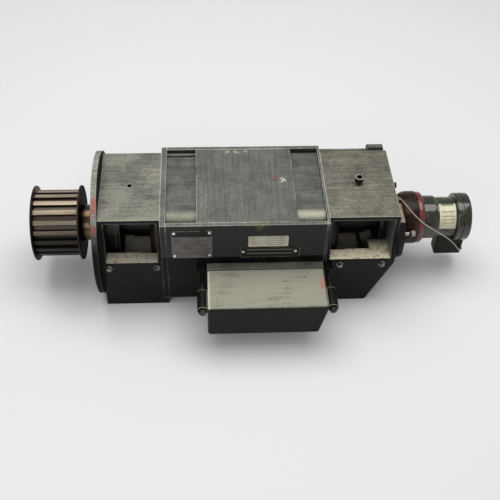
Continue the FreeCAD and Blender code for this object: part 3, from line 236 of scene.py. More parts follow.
def dust_mask(tree, skin, dust_share, streak_mm, has_sill):
    """How much dust lies at each point, from 0 to 1."""
    patches = add(tree, "MapRange", {"Value": skin.blotch, "From Min": 0.36, "From Max": 0.64,
                                     "To Min": dust_share * 0.55, "To Max": dust_share})
    brush = add(tree, "Mapping", {"Vector": skin.place, "Scale": [1000 / size for size in streak_mm]})
    streak = add(tree, "TexNoise", {"Vector": brush, "Scale": 1.0, "Detail": 3.0})
    streaks = add(tree, "MapRange", {"Value": streak, "From Min": 0.38, "From Max": 0.62, "To Min": 0.68})
    pitting = add(tree, "TexNoise", {"Vector": skin.place, "Scale": 1000 / PIT_MM, "Detail": 3.0})
    pits = add(tree, "MapRange", {"Value": pitting, "From Min": 0.29, "From Max": 0.38, "To Min": 0.6})
    frontward = add(tree, "MapRange", {"Value": skin.along["Y"], "From Min": 0.12, "From Max": -0.12,
                                       "To Min": 0.78})
    shares = [patches, streaks, skin.speckles, pits, frontward]
    if has_sill:
        skin.near_sill = add(tree, "Math", {0: skin.along["Z"], 1: SILL_HEIGHT, 2: SILL_DEPTH},
                             operation="COMPARE")
        shares.append(add(tree, "Math", {0: 1.0, 1: skin.near_sill}, operation="SUBTRACT"))
    if skin.within != 1.0:
        shares.append(skin.within)
    dusty = skin.upward
    for share in shares:
        dusty = add(tree, "Math", {0: dusty, 1: share}, operation="MULTIPLY")
    return dusty


# %% [markdown]
# ## Dirt and painted light in the windows
# Through the open windows one sees into the housings. Pale crumbs lie on the front sill and
# pale dust on the bottom of the room behind it. Both are painted paler than dust alone, as
# painted light from the window, and fade inwards as painted shade. The rear wall of the room
# gets painted light from the window, paler near the window than deep inside.

# %% Window layers
CRUMB_MM = 9


def window_light_on_wall(tree, skin, colour, window_light):
    """The wall that faces the drive end, with painted light from the window, paler towards the front."""
    turned = add(tree, "Math", {0: skin.facing["X"], 1: -0.8}, operation="LESS_THAN")
    inner = add(tree, "MapRange", {"Value": skin.along["Y"], "From Min": -0.03, "From Max": -0.09})
    lit = add(tree, "Math", {0: turned, 1: inner}, operation="MULTIPLY")
    return add(tree, "Mix", {"Factor": lit, "A": colour, "B": linear(window_light)}, data_type="RGBA")


def window_dirt_and_light(tree, skin, colour, sill):
    """Crumbs on the front sill and dust on the bottom of the room, painted pale as light from the window and
    fading inwards as painted shade.
    """
    inward = skin.along["Y"]
    height = skin.along["Z"]
    crumbs = add(tree, "TexNoise", {"Vector": skin.place, "Scale": 1000 / CRUMB_MM, "Detail": 8.0,
                                    "Roughness": 0.75})
    spots = add(tree, "MapRange", {"Value": crumbs, "From Min": 0.4, "From Max": 0.48, "To Min": 0.35})
    # The sill is brightest at its front edge, with painted shade further in.
    front = add(tree, "MapRange", {"Value": inward, "From Min": -0.06, "From Max": -0.088})
    low = add(tree, "MapRange", {"Value": height, "From Min": 0.09, "From Max": 0.06, "To Max": 0.6})
    # The bottom of the room is paler near the window, painted light that fades inwards.
    room = add(tree, "MapRange", {"Value": inward, "From Min": 0.045, "From Max": 0.0, "To Min": 0.12})
    for shade, shares in ((sill, (skin.near_sill, front, spots)), ("#dcd3be", (low, room, spots))):
        lying = skin.upward
        for share in shares:
            lying = add(tree, "Math", {0: lying, 1: share}, operation="MULTIPLY")
        colour = add(tree, "Mix", {"Factor": lying, "A": colour, "B": linear(shade)}, data_type="RGBA")
    return colour


# %% [markdown]
# ## Painted highlights on corners, splashes and rubbed edges
# Where a rounded corner turns to one side and up, a pale band is painted: pale dust with a
# painted highlight where the curve faces the light. Stray splashes of other paints lie at
# given places and have frayed borders. Along the edges the paint is rubbed through to bright
# metal: the rounded normal differs from the true one only there, and that difference is the
# mask. Hands and tools rub the upper edges most.

# %% Layers of use and painted highlight
FRAY_MM = 6


def dust_and_highlight_crest(tree, skin, colour, shade, side, end, weakest):
    """A pale band of dust and painted highlight where the normal turns to one side, weakest at the drive end.
    """
    turn = skin.facing[side]
    turning = add(tree, "MapRange", {"Value": turn, "From Min": -0.08, "From Max": -0.32})
    ending = add(tree, "MapRange", {"Value": turn, "From Min": end, "From Max": end + 0.2})
    above = add(tree, "MapRange", {"Value": skin.facing["Z"], "From Min": 0.15, "From Max": 0.4})
    rearward = add(tree, "MapRange", {"Value": skin.along["X"], "From Min": -0.13, "From Max": 0.11,
                                      "To Min": weakest})
    dust_and_highlight = skin.within
    for share in (turning, ending, above, rearward, skin.speckles):
        dust_and_highlight = add(tree, "Math", {0: share, 1: dust_and_highlight}, operation="MULTIPLY")
    return add(tree, "Mix", {"Factor": dust_and_highlight, "A": colour, "B": linear(shade)}, data_type="RGBA")


def splash_marks(tree, skin, colour, splashes):
    """Splashes, each given by its place, its reach and its colour."""
    fray = add(tree, "TexNoise", {"Vector": skin.place, "Scale": 1000 / FRAY_MM, "Detail": 5.0})
    for spot, reach, shade in splashes:
        away = add(tree, "VectorMath", {0: skin.place, 1: spot}, operation="DISTANCE")
        frayed = add(tree, "Math", {0: fray, 1: reach * 5, 2: away}, operation="MULTIPLY_ADD")
        mask = add(tree, "MapRange", {"Value": frayed, "From Min": reach * 3.5, "From Max": reach * 2.9,
                                      "To Max": 0.85})
        colour = add(tree, "Mix", {"Factor": mask, "A": colour, "B": linear(shade)}, data_type="RGBA")
    return colour


def rubbed_edges(tree, skin, colour, wear, rubbed_from, rubbed_low):
    """Bright edges, broken by the blotches and weaker low down."""
    agree = add(tree, "VectorMath", {0: skin.rounded, 1: skin.normal}, operation="DOT_PRODUCT")
    rubbed = add(tree, "MapRange", {"Value": agree, "From Min": 0.985, "From Max": 0.86})
    broken = add(tree, "MapRange", {"Value": skin.blotch, "From Min": rubbed_from,
                                    "From Max": rubbed_from + 0.25})
    upper = add(tree, "MapRange", {"Value": skin.along["Z"], "From Min": 0.21, "From Max": 0.225,
                                   "To Min": rubbed_low})
    for share in (broken, upper):
        rubbed = add(tree, "Math", {0: rubbed, 1: share}, operation="MULTIPLY")
    return add(tree, "Mix", {"Factor": rubbed, "A": colour, "B": linear(wear)}, data_type="RGBA")


# %% [markdown]
# ## The paint on each group
# One function lays the layers over each other. Each group of solids gets its own mix,
# because dust and splashes differ: the drive-end hood is palest, the terminal box is
# nearly beige on top, the flange carries red marks on its rim, and the end plate has
# rusted. A dull sheen shows where there is no dust. In the names, de is the drive end
# and nde the other end.

# %% Lay the layers
def machine_paint(name, dark, dust, wear, shade_below="#0b0c0c", sheen=(0.4, 0.7), blotch_mm=60, dust_from=0.35,
                  dust_share=0.95, streak_mm=(90, 6, 30), dust_between=None, sill=None, window_light=None,
                  crest=None, splashes=(), rubbed_from=0.3, rubbed_low=0.3):
    """Black paint with a painted shade below, dusty on upward faces, with bright rubbed edges, and where
    asked painted window light and painted highlights.
    """
    material, tree, shader = new_material(name)
    skin = read_surface(tree, blotch_mm, dust_from, dust_between)
    black = black_with_painted_shade(tree, skin, dark, shade_below)
    dusty = dust_mask(tree, skin, dust_share, streak_mm, has_sill=bool(sill))
    colour = add(tree, "Mix", {"Factor": dusty, "A": black, "B": linear(dust)}, data_type="RGBA")
    if window_light:
        colour = window_light_on_wall(tree, skin, colour, window_light)
    if sill:
        colour = window_dirt_and_light(tree, skin, colour, sill)
    if crest:
        colour = dust_and_highlight_crest(tree, skin, colour, *crest)
    if splashes:
        colour = splash_marks(tree, skin, colour, splashes)
    colour = rubbed_edges(tree, skin, colour, wear, rubbed_from, rubbed_low)
    roughness = add(tree, "MapRange", {"Value": dusty, "To Min": sheen[0], "To Max": sheen[1]})
    bump = add(tree, "Bump", {"Height": skin.grit, "Strength": 0.25, "Distance": 0.0004,
                              "Normal": skin.rounded})
    connect(tree, shader, {"Base Color": colour, "Roughness": roughness, "Normal": bump,
                           "Specular IOR Level": 0.15})
    return material


# %% Mix the paints
top_splashes = [((0.081, 0.010, 0.236), 0.007, "#d9d8d2"), ((0.068, 0.014, 0.236), 0.008, "#74504b"),
                ((-0.030, 0.100, 0.236), 0.005, "#a3a499"), ((-0.012, 0.098, 0.236), 0.006, "#a3a499"),
                ((0.010, 0.101, 0.236), 0.004, "#a3a499"), ((0.0285, -0.1165, 0.232), 0.011, "#77733f")]
red_marks = [((-0.2955, -0.075, 0.262), 0.010, "#b4645c"), ((-0.2955, -0.088, 0.253), 0.010, "#b4645c"),
             ((-0.2955, -0.116, 0.226), 0.009, "#a0504b")]
box_splashes = [((0.157, -0.168, 0.126), 0.008, "#c08468"), ((0.158, -0.180, 0.126), 0.009, "#b87a5e")]
box_span = ("X", -0.0775, 0.1625)
# The colour given for below the shade line is a painted shade.
frame_paint = machine_paint("worn_black_frame_paint", dark="#38393a", dust="#8b8d83", wear="#e0e0d4",
                            shade_below="#090a0b", streak_mm=(5, 90, 30), splashes=top_splashes)
# In the next two paints the sill colours are dust painted paler as light from the window, and the wall colour
# is painted light from the window.
de_paint = machine_paint("worn_black_drive_end_paint", dark="#151818", dust="#949386", wear="#deded0",
                         dust_share=1.5, streak_mm=(120, 4, 30), sill="#c6bfaa", rubbed_from=0.15)
nde_paint = machine_paint("worn_black_rear_end_paint", dark="#131514", dust="#9c9989", wear="#deddd0",
                          shade_below="#080909", sill="#fff3d2", window_light="#6a7272", rubbed_from=0.15)
# A crest colour is pale dust with a painted highlight.
box_paint = machine_paint("worn_black_box_paint", dark="#1a1b1b", dust="#a1a090", wear="#c9c7b6",
                          shade_below="#121211", dust_share=2.2, dust_between=box_span, splashes=box_splashes,
                          crest=("#e0decb", "X", -0.9, 1.0), rubbed_from=0.2, rubbed_low=0.9)
base_paint = machine_paint("worn_black_base_paint", dark="#161717", dust="#85867b", wear="#4a4a45",
                           dust_between=box_span)
core_paint = machine_paint("painted_laminations", dark="#2a2b29", dust="#888a82", wear="#8d8d84",
                           blotch_mm=35, dust_from=0.6, crest=("#cac8b0", "Y", -0.64, 0.55))
# Dust lies only on the drive-end half; the rear half stays black as a painted shade in the slot beside the
# rear band.
rod_paint = machine_paint("dusty_tie_rods", dark="#1c1d1c", dust="#a3a296", wear="#a3a296",
                          dust_between=("X", -0.2, 0.0))
flange_paint = machine_paint("worn_black_flange_paint", dark="#11100e", dust="#cfd0c2", wear="#b5b4aa",
                             sheen=(0.75, 0.8), splashes=red_marks)
plate_paint = machine_paint("rusty_end_plate_paint", dark="#1c1715", dust="#d3bda4", wear="#6b5a4d",
                            dust_from=0.85, dust_between=("Y", -0.2, -0.035))
print("nine paints mixed")

# %% [markdown]
# ## Bare metals
# Screws are zinc-plated. The coil heads inside the housings are dark with varnish and painted
# darker still as the shade in there, and the shaft is painted dark as that shade. Metals keep
# the default IOR, and their look comes from colour, roughness and a fine grain. The screw on
# top has a painted shade in its socket and on its flanks.

# %% Plain metals
GRAIN_MM = 2
TARNISH_MM = 12


def bare_metal(name, colour, dull, roughness, metallic=1.0, socket=None):
    """Metal with duller blotches and an uneven gloss; a socket given by place and reach gets a painted shade,
    and so do the flanks.
    """
    material, tree, shader = new_material(name)
    place = add(tree, "TexCoord").outputs["Object"]
    grain = add(tree, "TexNoise", {"Vector": place, "Scale": 1000 / GRAIN_MM, "Detail": 4.0})
    tarnish = add(tree, "TexNoise", {"Vector": place, "Scale": 1000 / TARNISH_MM, "Detail": 5.0})
    shade = add(tree, "MapRange", {"Value": tarnish, "From Min": 0.35, "From Max": 0.65})
    tone = add(tree, "Mix", {"Factor": shade, "A": linear(colour), "B": linear(dull)}, data_type="RGBA")
    # Inside the socket and on the flanks the metal is painted dark as shade.
    if socket:
        spot, reach = socket
        away = add(tree, "VectorMath", {0: place, 1: spot}, operation="DISTANCE")
        inside = add(tree, "Math", {0: away, 1: reach}, operation="LESS_THAN")
        normal = add(tree, "NewGeometry").outputs["Normal"]
        facing = add(tree, "SeparateXYZ", {"Vector": normal}).outputs
        shaded_flank = add(tree, "MapRange", {"Value": facing["Z"], "From Min": 0.5, "From Max": 0.2, "To Max": 0.9})
        painted_shade = add(tree, "Math", {0: inside, 1: shaded_flank}, operation="MAXIMUM")
        tone = add(tree, "Mix", {"Factor": painted_shade, "A": tone, "B": linear("#070707")}, data_type="RGBA")
    gloss = add(tree, "MapRange", {"Value": grain, "To Min": roughness * 0.75, "To Max": roughness * 1.3})
    bump = add(tree, "Bump", {"Height": grain, "Strength": 0.12, "Distance": 0.0002})
    connect(tree, shader, {"Base Color": tone, "Roughness": gloss, "Normal": bump, "Metallic": metallic})
    return material


# %% Mix the metals
zinc = bare_metal("zinc_plated_steel", "#c9c6ba", "#8d8a7e", 0.34)
lifting_zinc = bare_metal("zinc_plated_steel_painted_shade", "#c9c6ba", "#8d8a7e", 0.34,
                          socket=((0.239, 0, 0.2445), 0.0078))
bright_zinc = bare_metal("bright_rivet_steel", "#f4f3ec", "#d5d3ca", 0.3)
window_zinc = bare_metal("oily_zinc_plated_steel", "#b9b6aa", "#3f3d38", 0.4)
oiled_bolts = bare_metal("oiled_black_bolts", "#4a4a46", "#23241f", 0.4)
ground_steel = bare_metal("ground_steel", "#b3b1aa", "#8b8881", 0.3)
# The shaft and the coil heads are painted dark as the shade inside the housings.
shaded_dark_steel = bare_metal("dark_steel_painted_shade", "#1c1b1a", "#121110", 0.45, metallic=0.5)
copper = bare_metal("varnished_copper_painted_shade", "#2a1a12", "#150e0b", 0.5, metallic=0.3)
aluminium = bare_metal("cast_aluminium", "#b7b8b6", "#8f908d", 0.45)
brass = bare_metal("terminal_brass", "#b89b52", "#8a7238", 0.35)
print("ten metals mixed")

# %% [markdown]
# ## The belt pulley
# The pulley is browned steel. The belt has polished the teeth, while the flanks of the
# grooves are painted dark as the shade inside them, so the colour depends on the distance
# from the shaft axis. The lower half is darkened as a painted shade. The hub on the motor
# side is smooth brown metal with a painted shade that darkens it towards the pulley, and
# the guide ring beside it is rubbed bright along its rim.

# %% Pulley metal
RUB_MM = (60, 3, 3)
TOOTH_TOP = 0.0682
GROOVE_FLOOR = 0.0635
HUB_START = -0.3399


def pulley_metal():
    material, tree, shader = new_material("browned_pulley_steel")
    place = add(tree, "TexCoord").outputs["Object"]
    along = add(tree, "SeparateXYZ", {"Vector": place}).outputs
    across = add(tree, "Mapping", {"Vector": place, "Location": (0, 0, -AXIS_HEIGHT), "Scale": (0, 1, 1)})
    radius = add(tree, "VectorMath", {0: across}, operation="LENGTH")
    lengthwise = add(tree, "Mapping", {"Vector": place, "Scale": [1000 / size for size in RUB_MM]})
    rub = add(tree, "TexNoise", {"Vector": lengthwise, "Scale": 1.0, "Detail": 4.0})

    # From the floor of a groove over its flank, painted dark as shade, to the land of a tooth.
    polish = add(tree, "MapRange", {"Value": rub, "From Min": 0.3, "From Max": 0.7})
    shaded_flank = add(tree, "MapRange", {"Value": radius, "From Min": GROOVE_FLOOR - 0.0007,
                                   "From Max": GROOVE_FLOOR + 0.0007})
    land = add(tree, "MapRange", {"Value": radius, "From Min": TOOTH_TOP - 0.0006,
                                  "From Max": TOOTH_TOP + 0.0006})
    lands = add(tree, "Mix", {"Factor": polish, "A": linear("#85776a"), "B": linear("#c6b59a")},
                data_type="RGBA")
    grooves = add(tree, "Mix", {"Factor": shaded_flank, "A": linear("#64574b"), "B": linear("#15110e")},
                  data_type="RGBA")
    teeth = add(tree, "Mix", {"Factor": land, "A": grooves, "B": lands}, data_type="RGBA")
    # The lower half is darkened as a painted shade.
    shaded_lower_half = add(tree, "MapRange", {"Value": along["Z"], "From Min": 0.198, "From Max": 0.150,
                                    "To Max": 0.97})
    teeth = add(tree, "Mix", {"Factor": shaded_lower_half, "A": teeth, "B": linear("#14100d")}, data_type="RGBA")

    # The hub gets a painted shade: dark at the pulley, brown towards the motor.
    hub = add(tree, "Math", {0: along["X"], 1: HUB_START}, operation="GREATER_THAN")
    out_of_painted_shade = add(tree, "MapRange", {"Value": along["X"], "From Min": -0.338, "From Max": -0.320})
    brown_with_painted_shade = add(tree, "Mix", {"Factor": out_of_painted_shade, "A": linear("#16110f"), "B": linear("#65543f")},
                data_type="RGBA")
    tone = add(tree, "Mix", {"Factor": hub, "A": teeth, "B": brown_with_painted_shade}, data_type="RGBA")
    gloss = add(tree, "MapRange", {"Value": rub, "To Min": 0.3, "To Max": 0.52})
    gloss = add(tree, "MapRange", {"Value": hub, "To Min": gloss, "To Max": 0.2})
    metal = add(tree, "MapRange", {"Value": hub, "To Min": 0.55, "To Max": 1.0})
    connect(tree, shader, {"Base Color": tone, "Roughness": gloss, "Metallic": metal})
    return material


# %% Mix the pulley finishes
pulley_steel = pulley_metal()
rim_steel = machine_paint("blackened_rim_steel", dark="#0d0b0b", dust="#241f1e", wear="#4a423c",
                          shade_below="#0b0909", dust_share=0.5)
rubbed_rim_steel = machine_paint("rubbed_rim_steel", dark="#0f0b0d", dust="#2a2523", wear="#b3a595",
                                 shade_below="#0c090b", sheen=(0.58, 0.7), dust_share=0.4, rubbed_from=0.0)
print("pulley finishes mixed")

# %% [markdown]
# ## Encoder, plastics and rubber
# The encoder is glossy black enamel with an olive cast, and its clamp ring is dark red.
# Smooth coatings get a low roughness and a faint orange-peel bump, rubber and moulded
# plastic a high roughness and a finer grain.

# %% Smooth coatings and plastics
SCUFF_MM = 25


def coating(name, colour, scuffed, roughness, grain_mm, shine=0.5):
    """An even coat with a few scuffs and a fine surface texture."""
    material, tree, shader = new_material(name)
    place = add(tree, "TexCoord").outputs["Object"]
    peel = add(tree, "TexNoise", {"Vector": place, "Scale": 1000 / grain_mm, "Detail": 3.0})
    scuff = add(tree, "TexNoise", {"Vector": place, "Scale": 1000 / SCUFF_MM, "Detail": 7.0,
                                   "Roughness": 0.7})
    marks = add(tree, "MapRange", {"Value": scuff, "From Min": 0.5, "From Max": 0.75})
    tone = add(tree, "Mix", {"Factor": marks, "A": linear(colour), "B": linear(scuffed)}, data_type="RGBA")
    gloss = add(tree, "MapRange", {"Value": marks, "To Min": roughness, "To Max": min(1.0, roughness + 0.25)})
    bump = add(tree, "Bump", {"Height": peel, "Strength": 0.1, "Distance": 0.0002})
    connect(tree, shader, {"Base Color": tone, "Roughness": gloss, "Normal": bump,
                           "Specular IOR Level": shine})
    return material


# %% Mix the coatings
encoder_enamel = coating("black_encoder_enamel", "#1f2414", "#5f6646", 0.12, 1.5, shine=0.8)
bell_enamel = coating("black_bell_enamel", "#24130d", "#7a5440", 0.34, 1.5, shine=0.2)
red_enamel = coating("dark_red_enamel", "#68231c", "#a85a48", 0.2, 1.5, shine=0.8)
plug_plastic = coating("moulded_black_plastic", "#15160d", "#33361f", 0.5, 0.8, shine=0.2)
rubber = coating("black_rubber", "#161616", "#2c2c2b", 0.75, 0.6)
board_plastic = coating("brown_insulating_board", "#5a3a22", "#6d4c31", 0.55, 0.8)
lead_jacket = coating("grey_lead_jacket", "#b3aa9a", "#cfc7b6", 0.5, 0.8)
print("seven coatings mixed")

# %% [markdown]
# ## Dressing the solids
# Each solid keeps its shape and takes one finish. A glTF import gives every solid one
# material slot, so the finish simply goes into slot zero.

# %% Give each solid its finish
FINISHES = {
    frame_paint: ["de_end_frame", "nde_end_frame", "front_side_plate", "rear_side_plate", "top_plate",
                  "bottom_plate", "rear_lug"],
    de_paint: ["de_housing"],
    nde_paint: ["nde_housing"],
    flange_paint: ["de_flange", "de_bearing_cap", "nde_bearing_cap"],
    plate_paint: ["nde_end_plate"],
    base_paint: ["terminal_base"],
    box_paint: ["terminal_cover"],
    core_paint: ["stator_core", "rotor_core"],
    rod_paint: ["tie_rods"],
    copper: ["stator_winding"],
    shaded_dark_steel: ["shaft", "shaft_key"],
    ground_steel: ["de_bearing_outer", "de_bearing_inner", "de_roller_set", "nde_bearing_outer",
                   "nde_bearing_inner", "encoder_shaft"],
    aluminium: ["rotor_cage", "encoder_coupling"],
    lifting_zinc: ["lifting_screw"],
    zinc: ["encoder_bolts", "pulley_bolt"],
    oiled_bolts: ["de_flange_bolts", "nde_plate_bolts", "terminal_cover_bolts"],
    brass: ["terminal_studs"],
    pulley_steel: ["pulley", "pulley_washer"],
    rim_steel: ["pulley_rim_outer"],
    rubbed_rim_steel: ["pulley_rim_inner"],
    encoder_enamel: ["encoder_body", "encoder_cap"],
    bell_enamel: ["encoder_bell"],
    red_enamel: ["encoder_ring"],
    plug_plastic: ["encoder_connector", "entry_plugs"],
    rubber: ["terminal_gasket", "de_shaft_seal", "winding_leads"],
    board_plastic: ["terminal_board"],
    lead_jacket: ["earth_lead"],
}
for finish, names in FINISHES.items():
    for name in names:
        mesh = nodes[name].data
        mesh.materials.clear()
        mesh.materials.append(finish)
dressed = {name for names in FINISHES.values() for name in names}
print("solids without a finish:", sorted(set(nodes) - dressed))

# %% [markdown]
# ## Working by hand, in code
# The small trim is modelled as at the screen: a primitive is added in its place, its
# faces or edges are picked by where they are and the way they look, and an operator
# shapes them. These helpers do the adding, the picking, the copying and the last steps
# that every piece shares.

# %% Add and pick
FACING_FRONT = (math.pi / 2, 0, 0)
ALONG_SHAFT = (0, math.pi / 2, 0)


def select_only(*pieces):
    bpy.ops.object.select_all(action="DESELECT")
    for piece in pieces:
        piece.select_set(True)
    bpy.context.view_layer.objects.active = pieces[0]


def open_new_piece():
    """Fixes the new primitive's place in its mesh and opens it in edit mode."""
    bpy.ops.object.transform_apply(location=True, rotation=True, scale=True)
    bpy.ops.object.mode_set(mode="EDIT")
    return bpy.context.object


def new_box(middle, size):
    bpy.ops.object.select_all(action="DESELECT")
    bpy.ops.mesh.primitive_cube_add(size=1, location=middle, scale=size)
    return open_new_piece()


def new_cylinder(middle, radius, depth, corners, turn):
    bpy.ops.object.select_all(action="DESELECT")
    bpy.ops.mesh.primitive_cylinder_add(vertices=corners, radius=radius, depth=depth, location=middle,
                                        rotation=turn)
    return open_new_piece()


def pick(piece, kind, wanted):
    """In edit mode, selects just the faces or edges that the test picks."""
    bpy.ops.mesh.select_mode(type=kind)
    bpy.ops.mesh.select_all(action="DESELECT")
    mesh = bmesh.from_edit_mesh(piece.data)
    for part in mesh.faces if kind == "FACE" else mesh.edges:
        part.select_set(wanted(part))
    bmesh.update_edit_mesh(piece.data)


# %% Copy and finish pieces
def copy_to(piece, places):
    """Copies the piece from the first place to each of the others and joins them all."""
    row = [piece]
    for place in places[1:]:
        select_only(piece)
        bpy.ops.object.duplicate(linked=False)
        bpy.ops.transform.translate(value=Vector(place) - Vector(places[0]))
        row.append(bpy.context.object)
    select_only(*row)
    bpy.ops.object.join()


def finish_piece(piece, name, finish):
    select_only(piece)
    bpy.ops.object.transform_apply(location=True, rotation=True, scale=True)
    bpy.ops.object.shade_smooth_by_angle(angle=math.radians(35))
    piece.name = name
    piece.data.materials.clear()
    piece.data.materials.append(finish)
    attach(piece, "motor")
    print(name, len(piece.data.polygons), "faces")


# %% [markdown]
# ## Rating plate and data strip
# Two thin metal plates are riveted to the front panel. Both stay bare apart from plain
# ruled lines, and the larger one has a dark head band. A plate is a flat box whose
# upright corners are rounded by a bevel and whose front is inset and pushed in, which
# leaves a raised rim. The lines, the band and the bright border are part of the finish,
# and two paper labels use the same finish without metal or border.

# %% Finish of the plates
SOIL_MM = 14
LINE_WIDTH = 0.0011


def plate_finish(name, left, right, low, head, pitch, ground, line, border, metallic=0.4):
    """A dull plate with ruled lines between two heights, a dark band above and a bright border."""
    material, tree, shader = new_material(name)
    place = add(tree, "TexCoord").outputs["Object"]
    along = add(tree, "SeparateXYZ", {"Vector": place}).outputs
    worn = add(tree, "TexNoise", {"Vector": place, "Scale": 1000 / SOIL_MM, "Detail": 6.0})
    shade = add(tree, "MapRange", {"Value": worn, "From Min": 0.35, "From Max": 0.65})
    colour = add(tree, "Mix", {"Factor": shade, "A": linear(ground[0]), "B": linear(ground[1])},
                 data_type="RGBA")
    row = add(tree, "Math", {0: along["Z"], 1: pitch}, operation="FLOORED_MODULO")
    ruled = add(tree, "Math", {0: row, 1: LINE_WIDTH}, operation="LESS_THAN")
    for side, edge, way in (("X", left, "GREATER_THAN"), ("X", right, "LESS_THAN"),
                            ("Z", low, "GREATER_THAN"), ("Z", head, "LESS_THAN")):
        inside = add(tree, "Math", {0: along[side], 1: edge}, operation=way)
        ruled = add(tree, "Math", {0: ruled, 1: inside}, operation="MULTIPLY")
    colour = add(tree, "Mix", {"Factor": ruled, "A": colour, "B": linear(line)}, data_type="RGBA")
    band = add(tree, "Math", {0: along["Z"], 1: head}, operation="GREATER_THAN")
    colour = add(tree, "Mix", {"Factor": band, "A": colour, "B": linear("#151515")}, data_type="RGBA")
    for side, edge, way in (("X", border[0], "LESS_THAN"), ("X", border[1], "GREATER_THAN"),
                            ("Z", border[2], "LESS_THAN"), ("Z", border[3], "GREATER_THAN")):
        outside = add(tree, "Math", {0: along[side], 1: edge}, operation=way)
        bright = add(tree, "Math", {0: outside, 1: shade}, operation="MULTIPLY")
        colour = add(tree, "Mix", {"Factor": bright, "A": colour, "B": linear("#a09c93")}, data_type="RGBA")
    gloss = add(tree, "MapRange", {"Value": worn, "To Min": 0.35, "To Max": 0.65})
    connect(tree, shader, {"Base Color": colour, "Roughness": gloss, "Metallic": metallic})
    return material


# %% Mix the plate and label finishes
no_border = (-1, 1, -1, 1)
rating_metal = plate_finish("ruled_plate_metal", left=-0.137, right=-0.073, low=0.153, head=0.206,
                            pitch=0.0075, ground=("#7f7873", "#67605b"), line="#453e3a",
                            border=(-0.1443, -0.0667, 0.1467, 0.2213))
strip_metal = plate_finish("ruled_strip_metal", left=0.004, right=0.096, low=0.150, head=0.200,
                           pitch=0.0110, ground=("#2e2c2a", "#232221"), line="#b8b3a6",
                           border=(-0.0076, 0.1106, 0.1444, 0.1731))
label_paper = plate_finish("ruled_label_paper", left=0.0115, right=0.082, low=0.1775, head=0.21,
                           pitch=0.0056, ground=("#e6e2ce", "#c8c3b4"), line="#8b867c",
                           border=no_border, metallic=0)
encoder_paper = plate_finish("ruled_encoder_paper", left=0.422, right=0.449, low=0.146, head=0.19,
                             pitch=0.0058, ground=("#f2edd0", "#d8d1b0"), line="#7f7a66",
                             border=no_border, metallic=0)
print("four plate and label finishes mixed")

# %% Model the plates
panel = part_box("front_side_plate")[0][Y]


def panel_plate(left, right, low, high, thickness=0.0012, rim=0.0025):
    """A flat box on the front panel with rounded corners and a raised rim."""
    middle = ((left + right) / 2, panel - thickness / 2, (low + high) / 2)
    plate = new_box(middle, (right - left, thickness, high - low))
    pick(plate, "EDGE", lambda edge: abs((edge.verts[0].co - edge.verts[1].co).y) > thickness / 2)
    bpy.ops.mesh.bevel(offset=0.003, segments=4, affect="EDGES")
    pick(plate, "FACE", lambda face: face.normal.y < -0.9)
    bpy.ops.mesh.inset(thickness=rim)
    bpy.ops.mesh.inset(thickness=0.0003, depth=-0.0004)
    bpy.ops.object.mode_set(mode="OBJECT")
    return plate


rating_plate = panel_plate(left=-0.1455, right=-0.0655, low=0.1455, high=0.2225)
finish_piece(rating_plate, "rating_plate", rating_metal)
data_strip = panel_plate(left=-0.0085, right=0.1115, low=0.1435, high=0.1740)
finish_piece(data_strip, "data_strip", strip_metal)

# %% [markdown]
# ## Rivets
# Bright round-head rivets hold both plates. One rivet is a short cylinder whose front
# rim is bevelled in four steps into a dome, and the others are copies of it.

# %% Model the rivets
def rivet_row(places):
    """Domed rivets with their heads towards the front."""
    rivet = new_cylinder(places[0], radius=0.0036, depth=0.0022, corners=16, turn=FACING_FRONT)
    pick(rivet, "FACE", lambda face: face.normal.y < -0.9)
    bpy.ops.mesh.bevel(offset=0.0016, segments=4, affect="EDGES")
    bpy.ops.object.mode_set(mode="OBJECT")
    copy_to(rivet, places)
    return rivet


rivet_middle = panel - 0.0018
plate_corners = [(x, rivet_middle, z) for x in (-0.1405, -0.0705) for z in (0.1515, 0.2170)]
strip_ends = [(x, rivet_middle, 0.1600) for x in (-0.0030, 0.1030)]
finish_piece(rivet_row(plate_corners), "rating_plate_rivets", bright_zinc)
finish_piece(rivet_row(strip_ends), "data_strip_rivets", bright_zinc)

# %% [markdown]
# ## Paper labels
# A cream paper label with ruled lines sits above the strip, and another is wrapped round
# the encoder. The flat one is a thin box with rounded corners. The wrapped one starts as
# a single edge along the shaft, which is spun round the encoder's axis and then given
# its thickness by a Solidify modifier.

# %% Model the labels
flat_label = panel_plate(left=0.0065, right=0.0870, low=0.1750, high=0.2045, thickness=0.0005, rim=0.0012)
finish_piece(flat_label, "panel_label", label_paper)


def wrapped_label(start, end, radius, first, last):
    """A strip of paper on the encoder between two angles, counted upwards from the front."""
    edge_y = -radius * math.cos(math.radians(first))
    edge_z = AXIS_HEIGHT + radius * math.sin(math.radians(first))
    length = end - start
    middle = ((start + end) / 2, edge_y + length / 2, edge_z)
    bpy.ops.object.select_all(action="DESELECT")
    bpy.ops.mesh.primitive_plane_add(size=length, location=middle)
    label = open_new_piece()
    pick(label, "EDGE", lambda edge: all(vert.co.y > middle[Y] for vert in edge.verts))
    bpy.ops.mesh.select_mode(type="VERT")
    bpy.ops.mesh.delete(type="VERT")
    bpy.ops.mesh.select_all(action="SELECT")
    bpy.ops.mesh.spin(steps=28, angle=math.radians(last - first), center=(start, 0, AXIS_HEIGHT),
                      axis=(1, 0, 0))
    bpy.ops.mesh.select_all(action="SELECT")
    bpy.ops.mesh.normals_make_consistent(inside=False)
    bpy.ops.object.mode_set(mode="OBJECT")
    paper = label.modifiers.new("paper", "SOLIDIFY")
    paper.thickness = 0.0002
    paper.offset = 0
    bpy.ops.object.modifier_apply(modifier="paper")
    return label


round_label = wrapped_label(start=0.4178, end=0.4532, radius=0.04297, first=8, last=84)
finish_piece(round_label, "encoder_label", encoder_paper)

